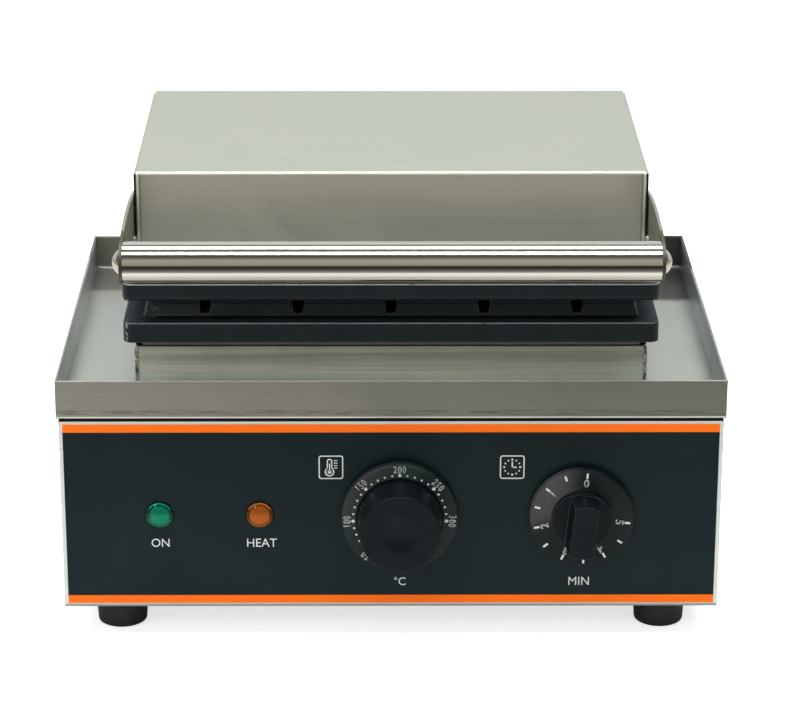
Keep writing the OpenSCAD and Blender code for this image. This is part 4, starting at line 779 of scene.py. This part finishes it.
FINISHES = {
    "stainless_steel": brushed_sheet("casing_sheet"),
    "zinc_steel": zinc_plate(),
    "polished_steel": polished_steel("polished_steel", (0.46, 0.435, 0.36), (0.54, 0.51, 0.43)),
    "panel_film": panel_film(),
    "rubber": soft_black("black_rubber", (0.0100, 0.0138, 0.0175), 0.62, 800.0, 0.2, 1.0),
    "coated_casting": coated_casting(),
    "element_sheath": plain_grain("element_sheath", (0.20, 0.17, 0.14), (0.10, 0.085, 0.075), 0.45, 500.0,
                                  0.3, 1.0),
    "insulation": plain_grain("insulation_fibre", (0.78, 0.75, 0.68), (0.58, 0.55, 0.49), 0.9, 350.0, 0.8),
    "copper": plain_grain("capillary_copper", (0.83, 0.46, 0.30), (0.62, 0.31, 0.19), 0.32, 700.0, 0.1, 1.0),
    "green_lens": lamp_glass("green_lens", (0.06, 0.86, 0.66)),
    "amber_lens": lamp_glass("amber_lens", (0.98, 0.60, 0.22)),
    "lamp_body": plain_grain("lamp_body_nylon", (0.74, 0.74, 0.70), (0.62, 0.62, 0.58), 0.5, 900.0, 0.1),
    "terminal_ceramic": plain_grain("terminal_ceramic", (0.82, 0.80, 0.74), (0.70, 0.68, 0.62), 0.25, 500.0,
                                    0.1),
    "control_casing": plain_grain("control_casing", (0.72, 0.72, 0.68), (0.60, 0.60, 0.56), 0.45, 900.0, 0.2),
    "gland_plastic": soft_black("gland_nylon", (0.0110, 0.0115, 0.0120), 0.48, 900.0, 0.15),
    "bronze": plain_grain("bush_bronze", (0.62, 0.42, 0.22), (0.42, 0.27, 0.13), 0.4, 1200.0, 0.3, 1.0),
    "knob_plastic": soft_black("knob_plastic", (0.0080, 0.0095, 0.0100), 0.40, 900.0, 0.15),
}
HOOD_TONES = {"light": (0.53, 0.53, 0.455), "dark": (0.48, 0.48, 0.41)}
HOOD_SHEET = brushed_sheet("hood_sheet", **HOOD_TONES, rounding=0.9, tint=hood_lip_highlight_and_groove_shade)
HOOD_END_SHEET = brushed_sheet("hood_end_sheet", **HOOD_TONES, rounding=0.4, tint=hood_end_shade)
ARM_SHEET = brushed_sheet("arm_sheet", light=(0.35, 0.335, 0.29), dark=(0.28, 0.265, 0.23), rough=0.38,
                          rounding=0.2, tint=arm_shade)
FRAME_SHEET = brushed_sheet("frame_sheet", rough=0.45, rounding=0.3, tint=frame_heat)
TRAY_SHEET = brushed_sheet("tray_sheet", light=(0.465, 0.45, 0.405), dark=(0.41, 0.395, 0.355), rough=0.36,
                           rounding=1.3, smear=0.3, tint=tray_soil_and_painted_light)
RISER_SHEET = brushed_sheet("riser_sheet", light=(0.62, 0.65, 0.55), dark=(0.41, 0.44, 0.37), rough=0.55,
                            smear=0.3, along=14.0, across=1500.0, spread=0.85, metal=0.5, tint=riser_shade)
PANEL_SHEET = brushed_sheet("panel_sheet", light=(0.74, 0.77, 0.75), dark=(0.66, 0.69, 0.67), rough=0.3,
                            rounding=0.9, smear=0.1, metal=0.35, tint=panel_bend_shade)
TUBE_STEEL = polished_steel("polished_tube", (0.59, 0.585, 0.525), (0.65, 0.645, 0.585), tube_belly_shade)
SEAL_RUBBER = soft_black("seal_rubber", (0.0010, 0.0011, 0.0012), 0.8, 800.0, 0.2, 0.3)
DIAL_PLASTIC = dial_plastic()
SKIRT_PLASTIC = turned_skirt()
WHITE_INK = plain_grain("white_ink", (0.80, 0.83, 0.83), (0.66, 0.69, 0.69), 0.5, 1600.0, 0.05)
BLACK_INK = plain_grain("black_ink", (0.0050, 0.0082, 0.0090), (0.0028, 0.0058, 0.0068), 0.42, 1500.0, 0.05)
WELD = plain_grain("weld_bead", (0.97, 0.94, 0.88), (0.030, 0.020, 0.014), 0.34, 420.0, 0.9, 0.75)
GREEN_BEADS = lamp_diffuser("green_diffuser", (0.004, 0.50, 0.33), POWER_X)
AMBER_BEADS = lamp_diffuser("amber_diffuser", (0.92, 0.32, 0.02), HEAT_X)


# Piece helpers

def piece(name, bm, materials, body, replaces=(), weighted=True):
    mesh = bpy.data.meshes.new(name)
    bm.to_mesh(mesh)
    bm.free()
    for material in materials:
        mesh.materials.append(material)
    made = bpy.data.objects.new(name, mesh)
    bpy.context.collection.objects.link(made)
    if weighted:
        made.modifiers.new("even_normals", "WEIGHTED_NORMAL").keep_sharp = True
    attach(made, body)
    if replaces:
        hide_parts(*replaces)
    return made


def turned(bm, profile, centre, axis, steps=72):
    across = axis.orthogonal().normalized()
    verts = [bm.verts.new(centre + across * (r * MM) + axis * (h * MM)) for r, h in profile]
    edges = [bm.edges.new(pair) for pair in zip(verts, verts[1:])]
    bmesh.ops.spin(bm, geom=verts + edges, cent=centre, axis=axis, dvec=(0, 0, 0),
                   angle=math.tau, steps=steps, use_merge=True, use_duplicate=False)
    bmesh.ops.remove_doubles(bm, verts=bm.verts, dist=1e-6)
    bmesh.ops.recalc_face_normals(bm, faces=bm.faces)


def soften(bm, width, angle=25.0, segments=3):
    sharp = [e for e in bm.edges if len(e.link_faces) == 2 and e.calc_face_angle() > math.radians(angle)]
    bmesh.ops.bevel(bm, geom=sharp, offset=width * MM, affect="EDGES", segments=segments,
                    profile=0.5, material=-1, clamp_overlap=True)
    for face in bm.faces:
        face.smooth = True


def take_in(bm, other):
    mesh = bpy.data.meshes.new("part")
    other.to_mesh(mesh)
    other.free()
    bm.from_mesh(mesh)
    bpy.data.meshes.remove(mesh)


# Thin printed shapes, drawn flat, raised a little and stood up to face the front

def print_up(bm, flat, place, layer=0.0):
    for face in flat.faces:
        face.normal_update()
    raised = bmesh.ops.extrude_face_region(flat, geom=flat.faces[:])
    verts = [v for v in raised["geom"] if isinstance(v, bmesh.types.BMVert)]
    bmesh.ops.translate(flat, vec=(0, 0, PRINT_T * MM), verts=verts)
    bmesh.ops.recalc_face_normals(flat, faces=flat.faces)
    bmesh.ops.transform(flat, matrix=place @ Matrix.Translation((0, 0, layer * MM)), verts=flat.verts)
    take_in(bm, flat)


def on_front(x, y, z, turn=0.0):
    stand = Matrix.Rotation(math.radians(90), 4, "X")
    return Matrix.Translation(at(x, y, z)) @ Matrix.Rotation(math.radians(turn), 4, "Y") @ stand


def bar_print(bm, w, h, place, round_off=0.0, layer=0.0, line=0.0):
    flat = bmesh.new()
    bmesh.ops.create_grid(flat, x_segments=1, y_segments=1, size=0.5)
    bmesh.ops.scale(flat, vec=(w * MM, h * MM, 1), verts=flat.verts)
    if round_off:
        bmesh.ops.bevel(flat, geom=flat.verts[:], offset=round_off * MM, affect="VERTICES", segments=5,
                        profile=0.5, material=-1)
    if line:
        inner = flat.faces[:]
        bmesh.ops.inset_region(flat, faces=inner, thickness=line * MM, use_boundary=True,
                               use_even_offset=True)
        bmesh.ops.delete(flat, geom=inner, context="FACES")
    print_up(bm, flat, place, layer)


def dot_print(bm, d, place, segments=14, layer=0.0):
    flat = bmesh.new()
    bmesh.ops.create_circle(flat, cap_ends=True, segments=segments, radius=d / 2 * MM)
    print_up(bm, flat, place, layer)


def lettering(bm, words, height, place, squeeze=1.0, bold=0.0, spacing=1.0):
    curve = bpy.data.curves.new("words", "FONT")
    curve.body = words
    curve.offset = bold
    curve.space_character = spacing
    curve.resolution_u = 4
    holder = bpy.data.objects.new("words", curve)
    mesh = bpy.data.meshes.new_from_object(holder)
    bpy.data.objects.remove(holder)
    bpy.data.curves.remove(curve)
    flat = bmesh.new()
    flat.from_mesh(mesh)
    bpy.data.meshes.remove(mesh)
    xs = [v.co.x for v in flat.verts]
    ys = [v.co.y for v in flat.verts]
    bmesh.ops.translate(flat, vec=(-(min(xs) + max(xs)) / 2, -(min(ys) + max(ys)) / 2, 0), verts=flat.verts)
    size = height * MM / (max(ys) - min(ys))
    bmesh.ops.scale(flat, vec=(size * squeeze, size, 1), verts=flat.verts)
    bmesh.ops.remove_doubles(flat, verts=flat.verts, dist=1e-7)
    print_up(bm, flat, place)


# Printed panel: words and two plain pictograms

def on_film(x, z):
    return on_front(x, FILM_Y, z)


def clock_picture(bm):
    for hour in range(12):
        swing = math.radians(30 * hour)
        dot_print(bm, 0.9 if hour % 3 else 1.15,
                  on_film(CLOCK_X + 4.1 * math.sin(swing), PICTURE_Z + 4.1 * math.cos(swing)), 10)
    bar_print(bm, 0.75, 3.4, on_film(CLOCK_X, PICTURE_Z + 1.3))
    bar_print(bm, 2.6, 0.75, on_film(CLOCK_X + 0.95, PICTURE_Z - 0.1))


# Three layers of print: the glass in white, its inside in black and the column in white

def thermometer_picture(bm):
    stem_x = THERMOMETER_X - 0.7
    bulb_z = PICTURE_Z - 2.5
    bar_print(bm, 2.9, 8.2, on_film(stem_x, PICTURE_Z + 0.6), 1.4)
    dot_print(bm, 5.0, on_film(stem_x, bulb_z), 24)
    for rung in range(4):
        bar_print(bm, 1.7, 0.5, on_film(stem_x + 3.1, PICTURE_Z + 3.7 - 1.35 * rung))
    inside = bmesh.new()
    bar_print(inside, 1.7, 7.0, on_film(stem_x, PICTURE_Z + 0.6), 0.8, layer=PRINT_T)
    dot_print(inside, 3.7, on_film(stem_x, bulb_z), 24, layer=PRINT_T)
    column = bmesh.new()
    bar_print(column, 0.6, 4.6, on_film(stem_x, PICTURE_Z - 0.2), layer=2 * PRINT_T)
    dot_print(column, 2.1, on_film(stem_x, bulb_z), 20, layer=2 * PRINT_T)
    return inside, column


def panel_words():
    bm = bmesh.new()
    for words, x, z in (("ON", -118.6, LAMP_WORDS_Z), ("HEAT", -66.4, LAMP_WORDS_Z),
                        ("°C", 4.6, DIAL_WORDS_Z), ("MIN", 97.1, DIAL_WORDS_Z)):
        lettering(bm, words, WORD_H, on_film(x, z), 0.95)
    for x in (THERMOMETER_X, CLOCK_X):
        bar_print(bm, 12.6, 12.9, on_film(x, PICTURE_Z), 1.4, line=0.62)
    clock_picture(bm)
    inside, column = thermometer_picture(bm)
    piece("panel_words", bm, [WHITE_INK], "base", weighted=False)
    piece("thermometer_inside", inside, [BLACK_INK], "base", weighted=False)
    piece("thermometer_column", column, [WHITE_INK], "base", weighted=False)


# Dials

def dial_place(centre_x, radius, turn):
    swing = math.radians(turn)
    return on_front(centre_x + radius * math.sin(swing), SKIRT_BACK_Y - SKIRT_T,
                    DIAL_Z + radius * math.cos(swing), turn)


def mark_skirt(bm):
    for face in bm.faces:
        face.material_index = int(face.calc_center_median().y > (SKIRT_BACK_Y - SKIRT_T - 0.25) * MM)


def skirt_outline(radius, inner):
    wall = radius - SKIRT_WALL
    return [(0, SHAFT_DEPTH), (SHAFT_R, SHAFT_DEPTH), (SHAFT_R, 0), (wall, 0), (wall, -SKIRT_LIP),
            (radius, -SKIRT_LIP), (radius, SKIRT_T - SKIRT_CHAMFER), (radius - SKIRT_CHAMFER, SKIRT_T),
            (inner, SKIRT_T)]


def thermostat_dial():
    centre = at(THERMOSTAT_X, SKIRT_BACK_Y, DIAL_Z)
    bm = bmesh.new()
    grip = [(GROOVE_R, GROOVE_H), (GRIP_FOOT_R, GROOVE_H), (GRIP_TOP_R, GRIP_H - GRIP_EDGE),
            (GRIP_TOP_R - GRIP_EDGE, GRIP_H)]
    inward = [1 - step / DIMPLE_STEPS for step in range(DIMPLE_STEPS + 1)]
    dimple = [(DIMPLE_R * part, GRIP_H - DIMPLE_DEPTH * (1 - part ** 2)) for part in inward]
    turned(bm, skirt_outline(THERMOSTAT_SKIRT_R, GROOVE_R) + grip + dimple, centre, FRONT, 96)
    soften(bm, 0.2, 22.0, 2)
    mark_skirt(bm)
    piece("thermostat_dial_body", bm, [DIAL_PLASTIC, SKIRT_PLASTIC], "thermostat_dial",
          ["thermostat_knob"])
    bm = bmesh.new()
    for tens in range(FIRST_TEN, LAST_TEN + 1):
        turn = (tens - TOP_TEN) * TURN_PER_TEN
        main = tens % 5 == 0
        dot_print(bm, 1.8 if main else 1.15, dial_place(THERMOSTAT_X, DOTS_R, turn), 12)
        if main:
            where = dial_place(THERMOSTAT_X, NUMBERS_R, turn)
            lettering(bm, str(tens * 10), 4.1, where, 0.68, 0.026, 1.25)
    dot_print(bm, 1.2, dial_place(THERMOSTAT_X, OFF_DOT_R, OFF_TURN), 12)
    piece("thermostat_marks", bm, [WHITE_INK], "thermostat_dial", weighted=False)


# The timer's grip: a disc cut to a bar, drawn out to the front and wider at its foot

def grip_bar():
    bar = bmesh.new()
    bmesh.ops.create_circle(bar, cap_ends=True, segments=72, radius=BAR_R * MM)
    for side in (-1, 1):
        bmesh.ops.bisect_plane(bar, geom=bar.verts[:] + bar.edges[:] + bar.faces[:],
                               plane_co=(side * BAR_HALF * MM, 0, 0), plane_no=(side, 0, 0), clear_outer=True)
    ends = [v for v in bar.verts if abs(abs(v.co.x) - BAR_HALF * MM) < 1e-6]
    bmesh.ops.bevel(bar, geom=ends, offset=1.6 * MM, affect="VERTICES", segments=5, profile=0.5, material=-1)
    foot = bar.verts[:]
    drawn = bmesh.ops.extrude_face_region(bar, geom=bar.faces[:])
    lifted = [v for v in drawn["geom"] if isinstance(v, bmesh.types.BMVert)]
    for height, verts in zip(BAR_HS, (foot, lifted)):
        bmesh.ops.translate(bar, vec=(0, 0, height * MM), verts=verts)
    bmesh.ops.scale(bar, vec=(1.2, 1.0, 1.0), verts=foot)
    bmesh.ops.recalc_face_normals(bar, faces=bar.faces)
    soften(bar, 0.15, 40.0, 1)
    return bar


def timer_dial():
    centre = at(TIMER_X, SKIRT_BACK_Y, DIAL_Z)
    bm = bmesh.new()
    boss = [(TIMER_BOSS_R, TIMER_BOSS_H), (0, TIMER_BOSS_H)]
    turned(bm, skirt_outline(TIMER_SKIRT_R, TIMER_BOSS_R) + boss, centre, FRONT, 96)
    soften(bm, 0.2, 22.0, 2)
    mark_skirt(bm)
    bar = grip_bar()
    bmesh.ops.transform(bar, matrix=on_front(TIMER_X, SKIRT_BACK_Y, DIAL_Z, TIMER_REST), verts=bar.verts)
    take_in(bm, bar)
    piece("timer_dial_body", bm, [DIAL_PLASTIC, SKIRT_PLASTIC], "timer_dial", ["timer_knob"])
    bm = bmesh.new()
    for half in range(LAST_HALF_MINUTE + 1):
        turn = TIMER_REST - TURN_PER_HALF_MINUTE * half
        bar_print(bm, 1.1, 2.9, dial_place(TIMER_X, TIMER_BARS_R, turn))
        if half % 2 == 0:
            lettering(bm, str(half // 2), 4.4, dial_place(TIMER_X, TIMER_NUMBERS_R, turn), 0.95, 0.032)
    piece("timer_marks", bm, [WHITE_INK], "timer_dial", weighted=False)


# Lamps: a clear cap with a sloped ring, over a beaded disc, each given as the radius and height of its bends

CAP_OUTLINE = ((0, 0), (7.2, 0), (7.2, 0.9), (6.9, 1.35), (5.0, 2.7), (2.6, 3.15), (0, 3.24))
DISC_OUTLINE = ((0, 0.3), (6.6, 0.3), (6.6, 0.7), (5.0, 0.8), (3.0, 1.05), (0, 1.1))


def lamp(name, x, glass, beads, slot, node):
    centre = at(x, FILM_Y, DIAL_Z)
    bm = bmesh.new()
    turned(bm, CAP_OUTLINE, centre, FRONT, 64)
    soften(bm, 0.25, 16.0)
    piece(name + "_lens_cap", bm, [glass], "base", [node])
    bm = bmesh.new()
    turned(bm, DISC_OUTLINE, centre, FRONT, 48)
    soften(bm, 0.15, 30.0)
    piece(name + "_lens_disc", bm, [beads], "base")


# Rubber feet, with a pocket for the screw's head

FOOT_OUTLINE = ((3.2, FOOT_H), (14.0, FOOT_H), (13.85, 17.2), (12.75, 0.0), (5.7, 0.0), (5.7, 10.0),
                (3.2, 10.0), (3.2, FOOT_H))


def feet():
    bm = bmesh.new()
    for x in FOOT_XS:
        for y in FOOT_YS:
            one = bmesh.new()
            turned(one, FOOT_OUTLINE, at(x, y, 0), Vector((0, 0, 1)), 56)
            soften(one, 1.5, 60.0, 4)
            take_in(bm, one)
    piece("feet_rubber", bm, [FINISHES["rubber"]], "base", ["rubber_feet"])


# Weld beads on the riser's corners, in millimetres

WELD_ZS = (125.1, 154.9)
WELD_R = 1.0
WELD_INSET = 0.35
WELD_RIPPLE = 0.16
WELD_LUMP = 0.45


def weld_bead(x, y):
    bead = bmesh.new()
    bmesh.ops.create_cone(bead, cap_ends=True, segments=12, radius1=WELD_R * MM, radius2=WELD_R * MM,
                          depth=(WELD_ZS[1] - WELD_ZS[0]) * MM)
    upright = [e for e in bead.edges if abs(e.verts[0].co.z - e.verts[1].co.z) > MM]
    bmesh.ops.subdivide_edges(bead, edges=upright, cuts=52, use_grid_fill=True)
    inset_x = math.copysign(WELD_INSET, x)
    inset_y = math.copysign(WELD_INSET, y - sum(RISER_YS) / 2)
    bmesh.ops.translate(bead, vec=at(x - inset_x, y - inset_y, sum(WELD_ZS) / 2), verts=bead.verts)
    for vert in bead.verts:
        ripple = WELD_RIPPLE * math.sin(vert.co.z / MM * 4.2 + 2.0 * noise.noise(vert.co * 300))
        lump = WELD_LUMP * noise.noise(vert.co * 900)
        middle = at(x, y, vert.co.z / MM)
        vert.co += (vert.co - middle).normalized() * MM * (ripple + lump)
    bmesh.ops.recalc_face_normals(bead, faces=bead.faces)
    for face in bead.faces:
        face.smooth = True
    return bead


def riser_welds():
    bm = bmesh.new()
    for x in (-RISER_X, RISER_X):
        for y in RISER_YS:
            take_in(bm, weld_bead(x, y))
    piece("riser_weld_beads", bm, [WELD], "base", weighted=False)


# Scene

set_camera()
studio_room()
bpy.context.scene.view_settings.view_transform = "Standard"
stage_sheet("floor", (9.0, 9.0), (0.0, 0.0, -0.0003), pale_floor())
flag = stage_sheet("front_flag", (3.6, 2.4), (0.0, FLAG_EDGE - 1.2, 0.004), flag_cloth())
for ray in ("camera", "diffuse", "transmission", "volume_scatter", "shadow"):
    setattr(flag, "visible_" + ray, False)
strip_light("front_strip", (0.0, -0.72, 1.55), (0.0, -0.05, 0.18), (1.9, 0.34), 14.5)
strip_light("top_strip", (0.0, 0.18, 1.60), (0.0, 0.02, 0.18), (1.9, 0.42), 18.0)
strip_light("left_box", (-1.05, -1.45, 1.15), (0.0, -0.1, 0.1), (0.4, 0.7), 10.0)

for made in nodes.values():
    for held in made.material_slots:
        held.material = FINISHES[held.material.name.split(".")[0]]
SHEETS = {
    "hood_cover": HOOD_SHEET,
    "left_hood_end": HOOD_END_SHEET,
    "right_hood_end": HOOD_END_SHEET,
    "left_handle_arm": ARM_SHEET,
    "right_handle_arm": ARM_SHEET,
    "drip_tray": TRAY_SHEET,
    "riser": RISER_SHEET,
    "lower_frame": FRAME_SHEET,
    "front_panel": PANEL_SHEET,
    "tray_seal": SEAL_RUBBER,
    "handle_tube": TUBE_STEEL,
}
for name, sheet in SHEETS.items():
    nodes[name].material_slots[0].material = sheet

panel_words()
thermostat_dial()
timer_dial()
lamp("power", POWER_X, FINISHES["green_lens"], GREEN_BEADS, "green_lens", "power_lamp_lens")
lamp("heat", HEAT_X, FINISHES["amber_lens"], AMBER_BEADS, "amber_lens", "heat_lamp_lens")
feet()
riser_welds()
